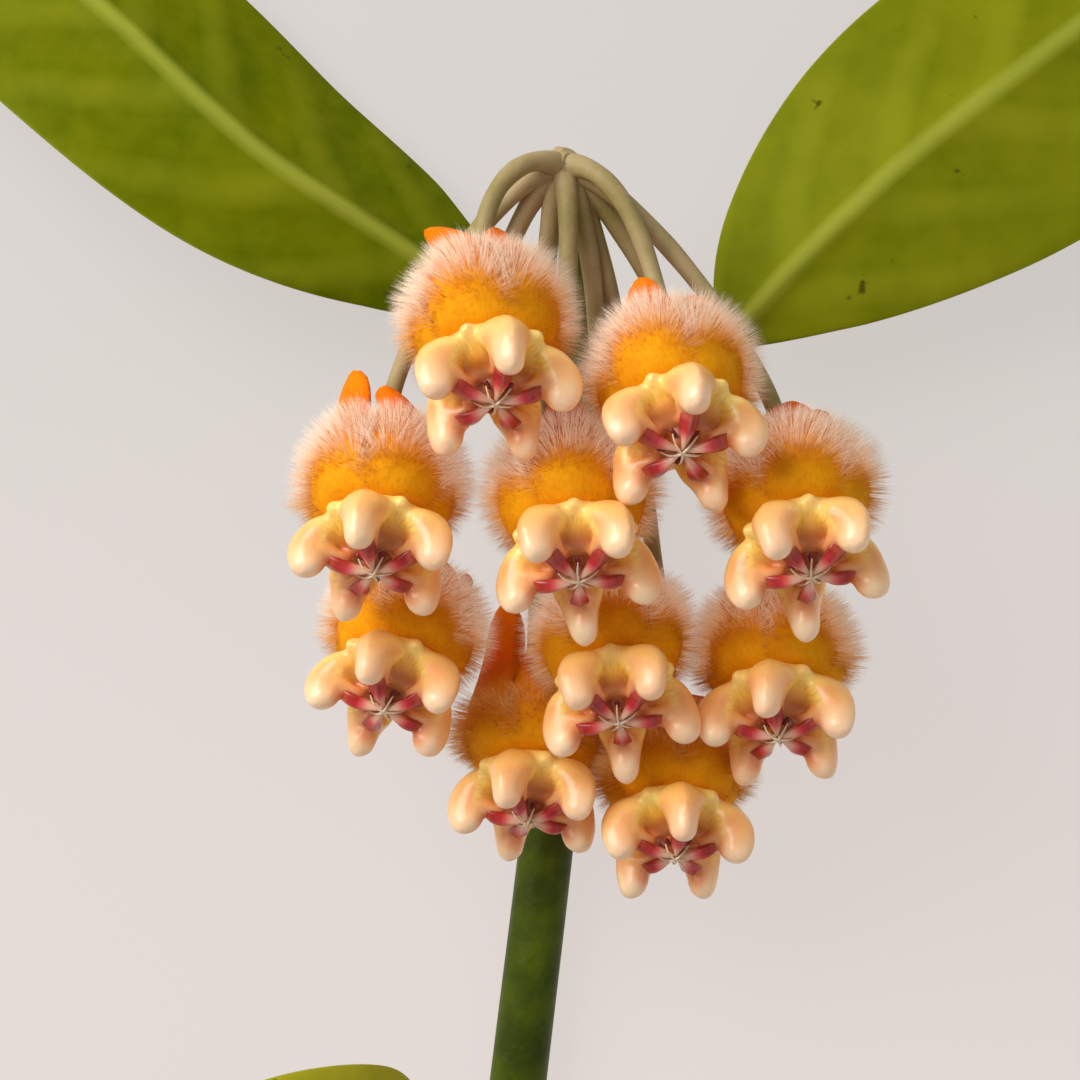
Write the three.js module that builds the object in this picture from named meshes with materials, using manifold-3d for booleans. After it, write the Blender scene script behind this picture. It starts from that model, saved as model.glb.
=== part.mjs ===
// A flowering shoot of Hoya lasiantha, cut from the plant and lying on a flat surface.
//
// A green stem with two pairs of leaves lies along Y on its flattened underside. From the upper node a
// peduncle rises to a knob, and ten pedicels arch out of the knob to ten hanging blooms, which here lie
// above the stem. Each bloom is a corolla of five petals folded right back round its pedicel, a fleshy
// cream crown of five scales that bend forwards like fingers, and a small magenta heart where the scales
// meet over the column.
//
// Millimetres, +Z up, the shoot's tip towards +Y. The origin is the middle of the shoot's footprint.

import * as THREE from "three";
import { mergeVertices } from "three/addons/utils/BufferGeometryUtils.js";
import Module from "manifold-3d";

const wasm = await Module();
wasm.setup();

// Driving dimensions, in millimetres and degrees.

// The layout below is drawn about the middle of the bunch; this moves it to the middle of the footprint.
const FOOTPRINT_MIDDLE = { x: 5.5, y: -11.3 };
const SEAT_GAP = 0.3; // what pieces that grow on each other keep between their meshes

const STEM = {
  line: [[-6.2, -90], [-4.3, -77], [-0.7, -48], [3.4, -14], [7.2, 12.5], [7.9, 18.5]],
  axisHeight: 3.05,
  lowRadius: 3.45,
  topRadius: 2.95,
  nodes: [{ y: -77, swell: 0.75 }, { y: 12.5, swell: 0.85 }],
  nodeLength: 4.5,
  budLength: 5,
};

const PEDUNCLE = {
  line: [[5.7, 14.2, 7.7], [5, 21, 10], [4, 30, 12.8], [2.9, 37.6, 16.6], [2.45, 40.2, 21.5]],
  footRadius: 1.75,
  headRadius: 1.35,
};

const KNOB = { place: [2.4, 40.4, 24], radius: 2.1 };

// The radii are those at the knob, on the way and at the seat; the last stretch runs inside the folded
// petals.
const PEDICEL = { radii: [1.15, 1, 0.95, 1.15], insideCap: 12.5, pull: 9 };

// The blade narrows towards its foot and its tip by these powers of the way along.
const LEAF = {
  blade: 0.7,
  ribHeight: 0.9,
  ribWidth: 1.5,
  petioleRadius: 1.45,
  footPower: 0.7,
  tipPower: 0.95,
  stations: 17,
  across: 6,
};

// Each leaf's midrib, stalk first, then which way its face looks, its width, how far its halves droop and
// wave.
const LEAVES = [
  {
    name: "leaf_upper_left",
    petiole: [[3.5, 14.5, 4.3], [-0.6, 19.4, 6.4]],
    blade: [
      [-5.2, 25.8, 8.4], [-14.7, 33.9, 11.2], [-31.1, 45, 13.8],
      [-51, 61.4, 12.6], [-72, 78, 8], [-94, 94.5, 0.3],
    ],
    face: [0.3, 0.37, 1],
    width: 31,
    droop: 0.31,
    wave: 0.7,
  },
  {
    name: "leaf_upper_right",
    petiole: [[11.55, 13.3, 4.4], [16.2, 17.4, 6.8]],
    blade: [
      [21.4, 22.7, 8.4], [29.2, 31.4, 11], [41.3, 42.9, 13.3],
      [56.4, 54.7, 13], [80, 72.5, 7.5], [105, 90, 0.3],
    ],
    face: [-0.16, 0.15, 1],
    width: 39.5,
    droop: 0.24,
    wave: 0.8,
  },
  {
    name: "leaf_lower_left",
    petiole: [[-8.9, -76.5, 5], [-10.2, -76.4, 8.6]],
    blade: [
      [-10.4, -75.8, 12.4], [-10.4, -73.2, 24], [-13.6, -70.8, 37], [-25, -69.1, 49], [-44, -68.3, 54],
    ],
    face: [0.8, 0.3, 0.5],
    width: 35,
    droop: 0.22,
    wave: 0.5,
  },
  {
    name: "leaf_lower_right",
    petiole: [[0.1, -78, 4.3], [3.6, -79.8, 5.4]],
    blade: [[7.6, -81.8, 6.2], [22, -88.6, 8.6], [42, -96.6, 8.4], [64, -104, 5], [88, -110.5, 0.3]],
    face: [0.05, 0.12, 1],
    width: 36,
    droop: 0.2,
    wave: 0.8,
  },
];

// The blooms: the middle of the heart in x, y and z, how far the face tips down and turns sideways from
// straight up, how far it is spun about its own axis, and which way its pedicel leaves the knob.
const BLOOMS = [
  { at: [-4.4, 13.5, 46.5], tip: 50, turn: 7, spin: -7, leave: [-5, 1.5, 7] },
  { at: [14, 8.7, 46.5], tip: 43, turn: 4, spin: -6, leave: [6.5, 0.5, 6] },
  { at: [-16.8, -3.3, 40.5], tip: 51, turn: -2, spin: 7, leave: [-9, -2, 1] },
  { at: [3.9, -4, 42], tip: 49, turn: 5, spin: 42, leave: [1.5, -5, 4] },
  { at: [27.2, -3.6, 42], tip: 49, turn: 7, spin: 41, leave: [9, -2.5, 1.5] },
  { at: [-16.5, -18, 29], tip: 47, turn: -13, spin: 0, leave: [-8, -5, -1] },
  { at: [8.3, -19, 32], tip: 47, turn: 4, spin: 46, leave: [5, -6, 1] },
  { at: [25.3, -21, 28.5], tip: 49, turn: -3, spin: 9, leave: [8, -3.5, -1] },
  { at: [-1.3, -30.6, 22.5], tip: 57, turn: -4, spin: 15, leave: [-3, -7, 0] },
  { at: [14.7, -34.4, 23.2], tip: 52, turn: 0, spin: -5, leave: [6, -5, -1.5] },
];

// One bloom in its own frame: the face looks along +Z and the heart's middle is the origin.
const PARTS_OF_FIVE = 5;
const FIFTH = (2 * Math.PI) / PARTS_OF_FIVE;

// A petal's midline from the middle of the face, over the shoulder and back to the tip: distance from the
// axis and height. Neighbouring petals are one sheet as far as the row of the notch; past it each narrows
// to its tip.
const PETAL = {
  midline: [
    [0, -6.9], [4.9, -6.95], [7.1, -8.5], [7.65, -10.8],
    [7.2, -13.6], [6.2, -16.5], [5.4, -19.3], [5.6, -21.8],
  ],
  notchRow: 3,
  taper: [1, 0.93, 0.78, 0.54, 0.16],
  thickness: 0.75,
  groove: 0.07,
  columns: 3,
};

// A crown scale's midline, from under the heart out to the knee and forwards to the fingertip, with the
// half width and half thickness of its round section on the way.
const SCALE = {
  midline: [[2.4, -5], [4.3, -4.5], [5.9, -3.4], [6.6, -1.6], [6.6, 0.1], [6.3, 1.4]],
  halfWidth: [1.2, 2, 2.5, 2.4, 1.95, 1.4],
  halfThickness: [1, 1.5, 1.85, 1.9, 1.75, 1.25],
  tip: { size: 0.55, reach: 0.8 },
  steps: 5,
  sides: 6,
};

// The low cone that the scales stand on, from the axis round its underside and rim and up to its flat
// top.
const CONE = {
  profile: [[0, -6.6], [5, -6.6], [6.3, -5.8], [6.2, -5], [2.5, -2.4], [0, -2.4]],
  sides: 10,
};

// The heart is a loft of star outlines. Each ring gives, for the tip of a horn, its shoulders and the bay
// between two horns, the distance from the axis, and then the same three heights.
const HEART = {
  shoulderTurn: 16,
  rings: [
    { reach: [2, 2, 2], height: [-2.1, -2.1, -2.1] },
    { reach: [1.5, 1.5, 1.4], height: [-1.3, -1.3, -1.3] },
    { reach: [4.1, 3.5, 0.9], height: [-0.25, -0.85, -0.6] },
    { reach: [4.35, 3.65, 0.7], height: [0.15, 0.3, -0.25] },
    { reach: [0.5, 0.4, 0.3], height: [0.02, 0.02, 0] },
  ],
};

const COLOURS = {
  stem: 0x4f5c1c,
  leaf: 0x6a7208,
  pedicel: 0x94804c,
  corolla: 0xf09a20,
  crown: 0xf3cf95,
  heart: 0xb03a5a,
};

// Shared geometry helpers.

const radians = THREE.MathUtils.degToRad;

// A smooth value along a list of evenly spaced ones, with t from 0 to 1.
function along(values, t) {
  return new THREE.SplineCurve(values.map((v, i) => new THREE.Vector2(i, v))).getPoint(t).y;
}

function curveThrough(points) {
  return new THREE.CatmullRomCurve3(points.map((p) => new THREE.Vector3(...p)), false, "centripetal");
}

// A closed mesh with shared vertices from loose triangles, turned so that its faces point out.
function closedMesh(triangles) {
  const loose = new THREE.BufferGeometry().setFromPoints(triangles.flat());
  const merged = mergeVertices(loose, 1e-3);
  const old = merged.index.array;
  const kept = [];
  for (let i = 0; i < old.length; i += 3) {
    const [a, b, c] = [old[i], old[i + 1], old[i + 2]];
    if (a !== b && b !== c && c !== a) kept.push(a, b, c);
  }
  merged.setIndex(kept);
  if (signedVolume(merged) < 0) kept.reverse();
  return merged.setIndex(kept);
}

function signedVolume(geometry) {
  const { index, attributes } = geometry;
  const at = (i) => new THREE.Vector3().fromBufferAttribute(attributes.position, index.getX(i));
  let six = 0;
  for (let i = 0; i < index.count; i += 3) six += at(i).dot(at(i + 1).cross(at(i + 2)));
  return six / 6;
}

// A point at a distance, turn and height about the Z axis.
function aboutAxis(distance, angle, height) {
  return new THREE.Vector3(distance * Math.cos(angle), distance * Math.sin(angle), height);
}

function middleOf(ring) {
  return ring.reduce((sum, p) => sum.add(p), new THREE.Vector3()).divideScalar(ring.length);
}

// A skin over rings of equally many points, closed with a fan at each end. From mirroredFrom on round a
// ring the quads are split along the other diagonal, so that a blade's two faces are split alike.
function skin(rings, mirroredFrom = Infinity) {
  const triangles = [];
  const count = rings[0].length;
  for (let i = 0; i < rings.length - 1; i++) {
    for (let j = 0; j < count; j++) {
      const next = (j + 1) % count;
      const [a, b, c, d] = [rings[i][j], rings[i][next], rings[i + 1][next], rings[i + 1][j]];
      if (j < mirroredFrom) triangles.push([a, b, c], [a, c, d]);
      else triangles.push([a, b, d], [b, c, d]);
    }
  }
  for (const [ring, forwards] of [[rings[0], false], [rings[rings.length - 1], true]]) {
    const middle = middleOf(ring);
    for (let j = 0; j < count; j++) {
      const [a, b] = [ring[j], ring[(j + 1) % count]];
      triangles.push(forwards ? [a, b, middle] : [b, a, middle]);
    }
  }
  return closedMesh(triangles);
}

// A round tube along a curve, its radius a function of the way along from 0 to 1.
function tube(path, steps, sides, radiusAt) {
  const frames = path.computeFrenetFrames(steps);
  const rings = [];
  for (let i = 0; i <= steps; i++) {
    const centre = path.getPointAt(i / steps);
    const ring = [];
    for (let j = 0; j < sides; j++) {
      const angle = (2 * Math.PI * j) / sides;
      ring.push(
        centre
          .clone()
          .addScaledVector(frames.normals[i], Math.cos(angle) * radiusAt(i / steps))
          .addScaledVector(frames.binormals[i], Math.sin(angle) * radiusAt(i / steps)),
      );
    }
    rings.push(ring);
  }
  return skin(rings);
}

// A body turned about Z from a profile of [radius, height] that starts and ends on the axis.
function turned(profile, sides) {
  const lathe = new THREE.LatheGeometry(profile.map(([r, h]) => new THREE.Vector2(r, h)), sides);
  return closedMesh(trianglesOf(lathe.rotateX(Math.PI / 2)));
}

function trianglesOf(geometry) {
  const flat = geometry.toNonIndexed().attributes.position;
  const triangles = [];
  for (let i = 0; i < flat.count; i += 3) {
    triangles.push([0, 1, 2].map((k) => new THREE.Vector3().fromBufferAttribute(flat, i + k)));
  }
  return triangles;
}

function solidOf(geometry) {
  return new wasm.Manifold(
    new wasm.Mesh({
      numProp: 3,
      vertProperties: new Float32Array(geometry.attributes.position.array),
      triVerts: new Uint32Array(geometry.index.array),
    }),
  );
}

function geometryOf(solid) {
  const mesh = solid.getMesh();
  return new THREE.BufferGeometry()
    .setAttribute("position", new THREE.BufferAttribute(mesh.vertProperties, 3))
    .setIndex(new THREE.BufferAttribute(mesh.triVerts, 1));
}

function joined(geometries) {
  return geometryOf(geometries.map(solidOf).reduce((sum, solid) => sum.add(solid)));
}

function piece(name, geometry, material) {
  const mesh = new THREE.Mesh(geometry, material);
  mesh.name = name;
  return mesh;
}

function finish(colour, roughness) {
  return new THREE.MeshStandardMaterial({ color: colour, roughness, metalness: 0 });
}

// The stem: a round green rod, thicker at its two nodes, pressed flat where it lies, with a blunt bud at
// the tip.
function stem() {
  const path = curveThrough(STEM.line.map(([x, y]) => [x, y, STEM.axisHeight]));
  const length = path.getLength();
  const radiusAt = (t) => {
    const y = path.getPointAt(t).y;
    let radius = THREE.MathUtils.lerp(STEM.lowRadius, STEM.topRadius, t);
    for (const node of STEM.nodes) radius += node.swell * Math.exp(-(((y - node.y) / STEM.nodeLength) ** 2));
    const fromTip = ((1 - t) * length) / STEM.budLength;
    return fromTip < 1 ? radius * Math.sqrt(0.06 + 0.94 * fromTip) : radius;
  };
  const rod = solidOf(tube(path, 22, 10, radiusAt));
  const under = new THREE.BoxGeometry(400, 400, 20).translate(0, 0, -10);
  return geometryOf(rod.subtract(solidOf(closedMesh(trianglesOf(under)))));
}

// A leaf: the stalk and the blade are one loft of closed sections along the midrib. The stalk's sections
// are round. The blade's are two rows of points, its upper and lower face, which droop from the midrib to
// the margins, are thicker along the rib and never pass below the surface the shoot lies on.
function leaf({ petiole, blade, face, width, droop, wave }) {
  const path = curveThrough([...petiole, ...blade]);
  const stalkShare = curveThrough([...petiole, blade[0]]).getLength() / path.getLength();
  const toFace = new THREE.Vector3(...face).normalize();
  const rings = [];
  for (let i = 0; i <= LEAF.stations; i++) {
    const t = i / LEAF.stations;
    const centre = path.getPointAt(t);
    const side = path.getTangentAt(t).cross(toFace).normalize();
    const up = side.clone().cross(path.getTangentAt(t));
    const s = Math.max(0, (t - stalkShare) / (1 - stalkShare));
    rings.push(leafSection(centre, side, up, s, width / 2, droop, wave));
  }
  return skin(rings, LEAF.across + 1);
}

// Half the blade's width at s, from 0 at its foot to 1 at its tip: round at the foot, widest before the
// middle, and drawn out to a point.
function bladeHalfWidth(s, widest) {
  const peak = LEAF.footPower / (LEAF.footPower + LEAF.tipPower);
  return widest * (s / peak) ** LEAF.footPower * ((1 - s) / (1 - peak)) ** LEAF.tipPower;
}

function leafSection(centre, side, up, s, widest, droop, wave) {
  const spread = bladeHalfWidth(s, widest);
  const stalk = Math.max(0.45, LEAF.petioleRadius * (1 - s) ** 2);
  const halfWidth = Math.hypot(spread, stalk);
  const flat = THREE.MathUtils.smoothstep(spread, 0, 3 * LEAF.petioleRadius);
  const point = (u, sign) => {
    const round = stalk * Math.sqrt(Math.max(0, 1 - u * u));
    const rib = LEAF.ribHeight * (1 - s) * Math.exp(-(((u * halfWidth) / LEAF.ribWidth) ** 2));
    const half = THREE.MathUtils.lerp(Math.max(round, 0.02), LEAF.blade / 2 + rib, flat);
    const ripple = wave * flat * u * u * Math.sin(11 * s + 2.2 * Math.sign(u));
    const lift = ripple - droop * Math.abs(u) * spread;
    const at = centre.clone().addScaledVector(side, u * halfWidth).addScaledVector(up, lift);
    at.z = Math.max(at.z, half) + sign * half * up.z;
    return at.addScaledVector(new THREE.Vector3(up.x, up.y, 0), sign * half);
  };
  const ring = [];
  for (let j = 0; j <= LEAF.across; j++) ring.push(point((2 * j) / LEAF.across - 1, 1));
  for (let j = LEAF.across; j >= 0; j--) ring.push(point((2 * j) / LEAF.across - 1, -1));
  return ring;
}

// The corolla: five petals in one thin sheet, laid out in rows from the middle of the face to the tips.
function corolla() {
  const rows = PETAL.midline.length - 1;
  const curve = new THREE.SplineCurve(PETAL.midline.map((p) => new THREE.Vector2(...p)));
  const share = (row) => (row <= PETAL.notchRow ? 1 : PETAL.taper[row - PETAL.notchRow]);
  const point = (petal, row, column, inner) => {
    const across = (2 * column) / PETAL.columns - 1;
    const [r, h] = PETAL.midline[row];
    const run = curve.getTangent(row / rows);
    const depth = inner ? PETAL.thickness : 0;
    const groove = 1 - PETAL.groove * across ** 2 * Math.min(1, row / 2);
    const radius = Math.max(0, (r + (row ? depth * run.y : 0)) * groove);
    const height = h - (row ? depth * run.x : depth);
    const angle = (petal + 0.5 + (across / 2) * share(row)) * FIFTH + Math.PI / 2;
    return aboutAxis(radius, angle, height);
  };
  const triangles = [];
  const quad = (a, b, c, d) => triangles.push([a, b, c], [a, c, d]);
  for (let petal = 0; petal < PARTS_OF_FIVE; petal++) {
    for (let row = 0; row < rows; row++) {
      for (let column = 0; column < PETAL.columns; column++) {
        const square = [[row, column], [row, column + 1], [row + 1, column + 1], [row + 1, column]];
        const corners = (inner) => square.map(([i, j]) => point(petal, i, j, inner));
        quad(...corners(false));
        const [a, b, c, d] = corners(true);
        triangles.push([a, c, b], [a, d, c]);
      }
      if (row < PETAL.notchRow) continue;
      for (const [column, from, to] of [[0, row, row + 1], [PETAL.columns, row + 1, row]]) {
        quad(point(petal, from, column, false), point(petal, to, column, false),
          point(petal, to, column, true), point(petal, from, column, true));
      }
    }
    for (let column = 0; column < PETAL.columns; column++) {
      quad(point(petal, rows, column, false), point(petal, rows, column + 1, false),
        point(petal, rows, column + 1, true), point(petal, rows, column, true));
    }
  }
  return closedMesh(triangles);
}

// One fleshy scale of the crown, a rounded finger that rises from the dish and bends forwards.
function crownScale(turn) {
  const path = curveThrough(SCALE.midline.map(([r, h]) => [r, 0, h]));
  const rings = [];
  for (let i = 0; i <= SCALE.steps; i++) {
    const t = i / SCALE.steps;
    const centre = path.getPointAt(t);
    const run = path.getTangentAt(t);
    const out = new THREE.Vector3(-run.z, 0, run.x);
    const ring = [];
    for (let j = 0; j < SCALE.sides; j++) {
      const angle = (2 * Math.PI * (j + 0.5)) / SCALE.sides;
      ring.push(centre.clone()
        .addScaledVector(out, Math.sin(angle) * along(SCALE.halfThickness, t))
        .add(new THREE.Vector3(0, Math.cos(angle) * along(SCALE.halfWidth, t), 0)));
    }
    rings.push(ring);
  }
  return skin(rounded(rings)).rotateZ(turn);
}

// Adds a smaller ring past the last one, so that a finger ends in a rounded tip and not in a cut.
function rounded(rings) {
  const last = rings[rings.length - 1];
  const end = middleOf(last);
  const onwards = end.clone().sub(middleOf(rings[rings.length - 2])).normalize();
  const ringAt = (size, reach) =>
    last.map((p) => p.clone().sub(end).multiplyScalar(size).add(end).addScaledVector(onwards, reach));
  return [...rings, ringAt(SCALE.tip.size, SCALE.tip.reach)];
}

function crown() {
  const scales = [];
  for (let i = 0; i < PARTS_OF_FIVE; i++) scales.push(crownScale(Math.PI / 2 + i * FIFTH));
  return joined([turned(CONE.profile, CONE.sides), ...scales]);
}

// The heart: five magenta horns that spread from the star over the column out towards the scales.
function heart() {
  const shoulder = radians(HEART.shoulderTurn);
  const rings = HEART.rings.map(({ reach, height }) => {
    const ring = [];
    for (let i = 0; i < PARTS_OF_FIVE; i++) {
      const horn = Math.PI / 2 + i * FIFTH;
      for (const [turn, part] of [[-shoulder, 1], [0, 0], [shoulder, 1], [FIFTH / 2, 2]]) {
        ring.push(aboutAxis(reach[part], horn + turn, height[part]));
      }
    }
    return ring;
  });
  return skin(rings);
}

// Where a bloom stands, as a matrix from its own frame to the layout.
function standOf({ at, tip, turn, spin }) {
  const turnAll = new THREE.Euler(radians(tip), radians(turn), radians(spin), "YXZ");
  return new THREE.Matrix4().makeRotationFromEuler(turnAll).setPosition(...at);
}

// The knob and its ten pedicels, each one curve that leaves the knob, comes down behind its bloom and
// runs up inside the folded petals to a seat behind the face.
function pedicels() {
  const knob = new THREE.Vector3(...KNOB.place);
  const stalks = BLOOMS.map((bloom) => {
    const stand = standOf(bloom);
    const onAxis = (height) => new THREE.Vector3(0, 0, height).applyMatrix4(stand);
    const seat = PETAL.midline[0][1] - PETAL.thickness - SEAT_GAP;
    const mouth = onAxis(seat - PEDICEL.insideCap);
    const beforeMouth = onAxis(seat - PEDICEL.insideCap - PEDICEL.pull);
    const leaving = knob.clone().add(new THREE.Vector3(...bloom.leave));
    const outside = new THREE.CubicBezierCurve3(knob, leaving, beforeMouth, mouth).getPoints(8);
    const line = [...outside, onAxis(seat - PEDICEL.insideCap / 2), onAxis(seat)];
    const path = new THREE.CatmullRomCurve3(line, false, "centripetal");
    return tube(path, 10, 6, (t) => along(PEDICEL.radii, t));
  });
  const ball = new THREE.SphereGeometry(KNOB.radius, 9, 6).translate(...KNOB.place);
  return joined([closedMesh(trianglesOf(ball)), ...stalks]);
}

function peduncle() {
  return tube(curveThrough(PEDUNCLE.line), 8, 7, (t) =>
    THREE.MathUtils.lerp(PEDUNCLE.footRadius, PEDUNCLE.headRadius, t));
}

// The shoot, put together.

const stemSkin = finish(COLOURS.stem, 0.5);
const leafSkin = finish(COLOURS.leaf, 0.45);
const pedicelSkin = finish(COLOURS.pedicel, 0.55);
const corollaSkin = finish(COLOURS.corolla, 0.8);
const crownSkin = finish(COLOURS.crown, 0.3);
const heartSkin = finish(COLOURS.heart, 0.35);

const shoot = new THREE.Group();
shoot.position.set(-FOOTPRINT_MIDDLE.x, -FOOTPRINT_MIDDLE.y, 0);
shoot.add(piece("stem", stem(), stemSkin));
shoot.add(piece("peduncle", peduncle(), stemSkin));
shoot.add(piece("pedicels", pedicels(), pedicelSkin));
for (const shape of LEAVES) shoot.add(piece(shape.name, leaf(shape), leafSkin));

const [corollaShape, crownShape, heartShape] = [corolla(), crown(), heart()];
BLOOMS.forEach((bloom, i) => {
  const name = "bloom_" + String(i + 1).padStart(2, "0");
  const group = new THREE.Group();
  group.position.set(...bloom.at);
  group.rotation.set(radians(bloom.tip), radians(bloom.turn), radians(bloom.spin), "YXZ");
  group.add(piece(name + "_corolla", corollaShape, corollaSkin));
  group.add(piece(name + "_crown", crownShape, crownSkin));
  group.add(piece(name + "_heart", heartShape, heartSkin));
  shoot.add(group);
});

export default shoot;
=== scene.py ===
# %% [markdown]
# A cut, flowering shoot of a hoya is dressed here for a close look.
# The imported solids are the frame: they say where each stalk, leaf and bloom is and how large it is.
# Every one of them is then covered by a finer surface of the same form, which adds what gives the
# real shoot its look: rounded wax, veins, streaks and, above all, thousands of pale hairs.
# Lengths are written in millimetres, as a botanist measures, and become metres when a mesh is made.

import bpy
import numpy as np
from mathutils import Matrix


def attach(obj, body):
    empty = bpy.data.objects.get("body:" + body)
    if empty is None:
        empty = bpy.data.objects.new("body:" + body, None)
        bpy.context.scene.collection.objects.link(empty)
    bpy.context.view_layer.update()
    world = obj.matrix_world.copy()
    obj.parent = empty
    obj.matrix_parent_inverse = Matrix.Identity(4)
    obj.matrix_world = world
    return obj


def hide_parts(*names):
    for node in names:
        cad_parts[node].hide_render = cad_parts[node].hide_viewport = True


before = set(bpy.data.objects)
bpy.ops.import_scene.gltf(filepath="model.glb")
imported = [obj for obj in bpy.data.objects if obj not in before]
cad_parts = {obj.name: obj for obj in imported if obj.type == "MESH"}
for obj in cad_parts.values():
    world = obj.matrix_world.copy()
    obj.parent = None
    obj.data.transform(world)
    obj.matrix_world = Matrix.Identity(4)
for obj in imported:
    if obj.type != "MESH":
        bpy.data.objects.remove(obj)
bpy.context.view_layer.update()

# %% [markdown]
# The shoot is laid out about the middle of its bunch of blooms, because that is how it is looked at.
# The frame has its origin in the middle of the footprint instead, so one shift joins the two.

# %% Units and the shift between the layout and the frame
MM = 0.001
FOOTPRINT_MIDDLE = np.array([5.5, -11.3, 0.0])


def placed(points):
    """Layout millimetres to the frame's metres: the point less the footprint's middle, times 0.001."""
    return (np.asarray(points, float) - FOOTPRINT_MIDDLE) * MM


# %% [markdown]
# Stalks and midribs are smooth lines through a few points. A Catmull-Rom curve passes through its
# points, which a Bezier or a NURBS curve doesn't, so the points can be read off a real shoot. The
# centripetal kind doesn't loop where points lie close together.

# %% Smooth lines
def smooth_path(points, count):
    """Centripetal Catmull-Rom curve through the points, read at equal steps of its length.

    Each stretch is a Hermite cubic. Its end slopes weigh the neighbouring chords by the square roots
    of their lengths.
    """
    p = np.asarray(points, float)
    p = np.vstack([2 * p[0] - p[1], p, 2 * p[-1] - p[-2]])
    root = np.sqrt(np.linalg.norm(np.diff(p, axis=0), axis=1))[:, None]
    before, this, after = root[:-2], root[1:-1], root[2:]
    start, end = p[1:-2], p[2:-1]
    chord = (end - start) / this
    leave = ((start - p[:-3]) / before - (end - p[:-3]) / (before + this) + chord) * this
    arrive = (chord - (p[3:] - start) / (this + after) + (p[3:] - end) / after) * this
    t = np.linspace(0, 1, 60, endpoint=False)[None, :, None]
    fine = hermite(t, start[:, None], leave[:, None], end[:, None], arrive[:, None]).reshape(-1, 3)
    return even_steps(np.vstack([fine, p[-2]]), count)


def hermite(t, start, leave, end, arrive):
    """The cubic that leaves start with one slope and reaches end with another, t from 0 to 1."""
    return (
        (2 * t**3 - 3 * t**2 + 1) * start
        + (t**3 - 2 * t**2 + t) * leave
        + (3 * t**2 - 2 * t**3) * end
        + (t**3 - t**2) * arrive
    )


def even_steps(line, count):
    """Reads a fine polyline at count places, evenly spaced by its length."""
    way = np.concatenate([[0], np.cumsum(np.linalg.norm(np.diff(line, axis=0), axis=1))])
    at = np.linspace(0, way[-1], count)
    return np.stack([np.interp(at, way, line[:, k]) for k in range(3)], axis=1)


def length_of(line):
    return float(np.linalg.norm(np.diff(line, axis=0), axis=1).sum())


def smooth_values(values, at):
    """A uniform Catmull-Rom cubic through evenly spaced values, read at shares of the way, 0 to 1."""
    v = np.asarray(values, float)
    place = np.clip(np.asarray(at, float), 0, 1) * (len(v) - 1)
    i = np.minimum(place.astype(int), len(v) - 2)
    before, start, end, after = (v[np.clip(i + k, 0, len(v) - 1)] for k in (-1, 0, 1, 2))
    return hermite(place - i, start, (end - before) / 2, end, (after - start) / 2)


def ease(x, low, high):
    """0 below low, 1 above high, and 3t^2 - 2t^3 between them; low may be the larger of the two."""
    t = np.clip((np.asarray(x, float) - low) / (high - low), 0, 1)
    return t * t * (3 - 2 * t)


# %% [markdown]
# Nearly every piece is a loft: rings of points carried along a line and skinned over. Blender's curve
# bevel could do the plain stalks, but not a leaf's section or a petal's, so one numpy loft serves
# them all. A shell is a plain tuple of points, four-sided faces and three-sided faces.

# %% Lofts and shells
def loft(rings):
    """A closed skin over rings of equally many points, with a fan of triangles over each end."""
    rings = np.asarray(rings, float)
    stations, around = rings.shape[:2]
    grid = np.arange(stations * around).reshape(stations, around)
    turned = np.roll(grid, -1, axis=1)
    quads = np.stack([grid[:-1], turned[:-1], turned[1:], grid[1:]], axis=-1).reshape(-1, 4)
    first, last = stations * around, stations * around + 1
    start = np.stack([turned[0], grid[0], np.full(around, first)], axis=-1)
    end = np.stack([grid[-1], turned[-1], np.full(around, last)], axis=-1)
    points = np.vstack([rings.reshape(-1, 3), rings[0].mean(0), rings[-1].mean(0)])
    return outward((points, quads, np.vstack([start, end])))


def outward(shell):
    """Turns a closed shell's faces outwards: six times its volume is the sum of a . (b x c)."""
    points, quads, tris = shell
    fans = np.vstack([quads[:, [0, 1, 2]], quads[:, [0, 2, 3]], tris])
    a, b, c = (points[fans[:, k]] for k in range(3))
    if np.einsum("ij,ij->", a, np.cross(b, c)) < 0:
        quads, tris = quads[:, ::-1], tris[:, ::-1]
    return points, quads, tris


def joined(shells):
    """Several shells in one list of points, with their faces' numbers moved on."""
    starts = np.cumsum([0] + [len(s[0]) for s in shells[:-1]])
    return (
        np.vstack([s[0] for s in shells]),
        np.vstack([s[1] + start for s, start in zip(shells, starts)]),
        np.vstack([s[2] + start for s, start in zip(shells, starts)]),
    )


def unit(vectors):
    return vectors / np.maximum(np.linalg.norm(vectors, axis=-1, keepdims=True), 1e-12)


def frames_along(line, toward):
    """Tangent, side and up at each point of a line, where up leans as near to toward as it can."""
    tangent = unit(np.gradient(line, axis=0))
    side = unit(np.cross(tangent, np.asarray(toward, float)))
    return tangent, side, np.cross(side, tangent)


def circle(count):
    """The angles of so many evenly spaced points round a ring, in one row."""
    return np.linspace(0, 2 * np.pi, count, endpoint=False)[None, :]


def tube(line, radii, sides, toward):
    """Round rings of the given radii along a line: centre + side * r cos a + up * r sin a."""
    _, side, up = frames_along(line, toward)
    angle = circle(sides)[..., None]
    radii = np.broadcast_to(np.asarray(radii, float), (len(line),))[:, None, None]
    return line[:, None] + radii * (np.cos(angle) * side[:, None] + np.sin(angle) * up[:, None])


# %% [markdown]
# A mesh gets its vertices in the frame's metres, so its object can stay at the origin. Whatever a
# material has to know about the surface, such as how far along a hair a point is, is kept on the
# vertices as a named attribute.

# %% From shells to a Blender piece
def new_object(name, data):
    """An object in the scene's own collection."""
    made = bpy.data.objects.new(name, data)
    bpy.context.scene.collection.objects.link(made)
    return made


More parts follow.
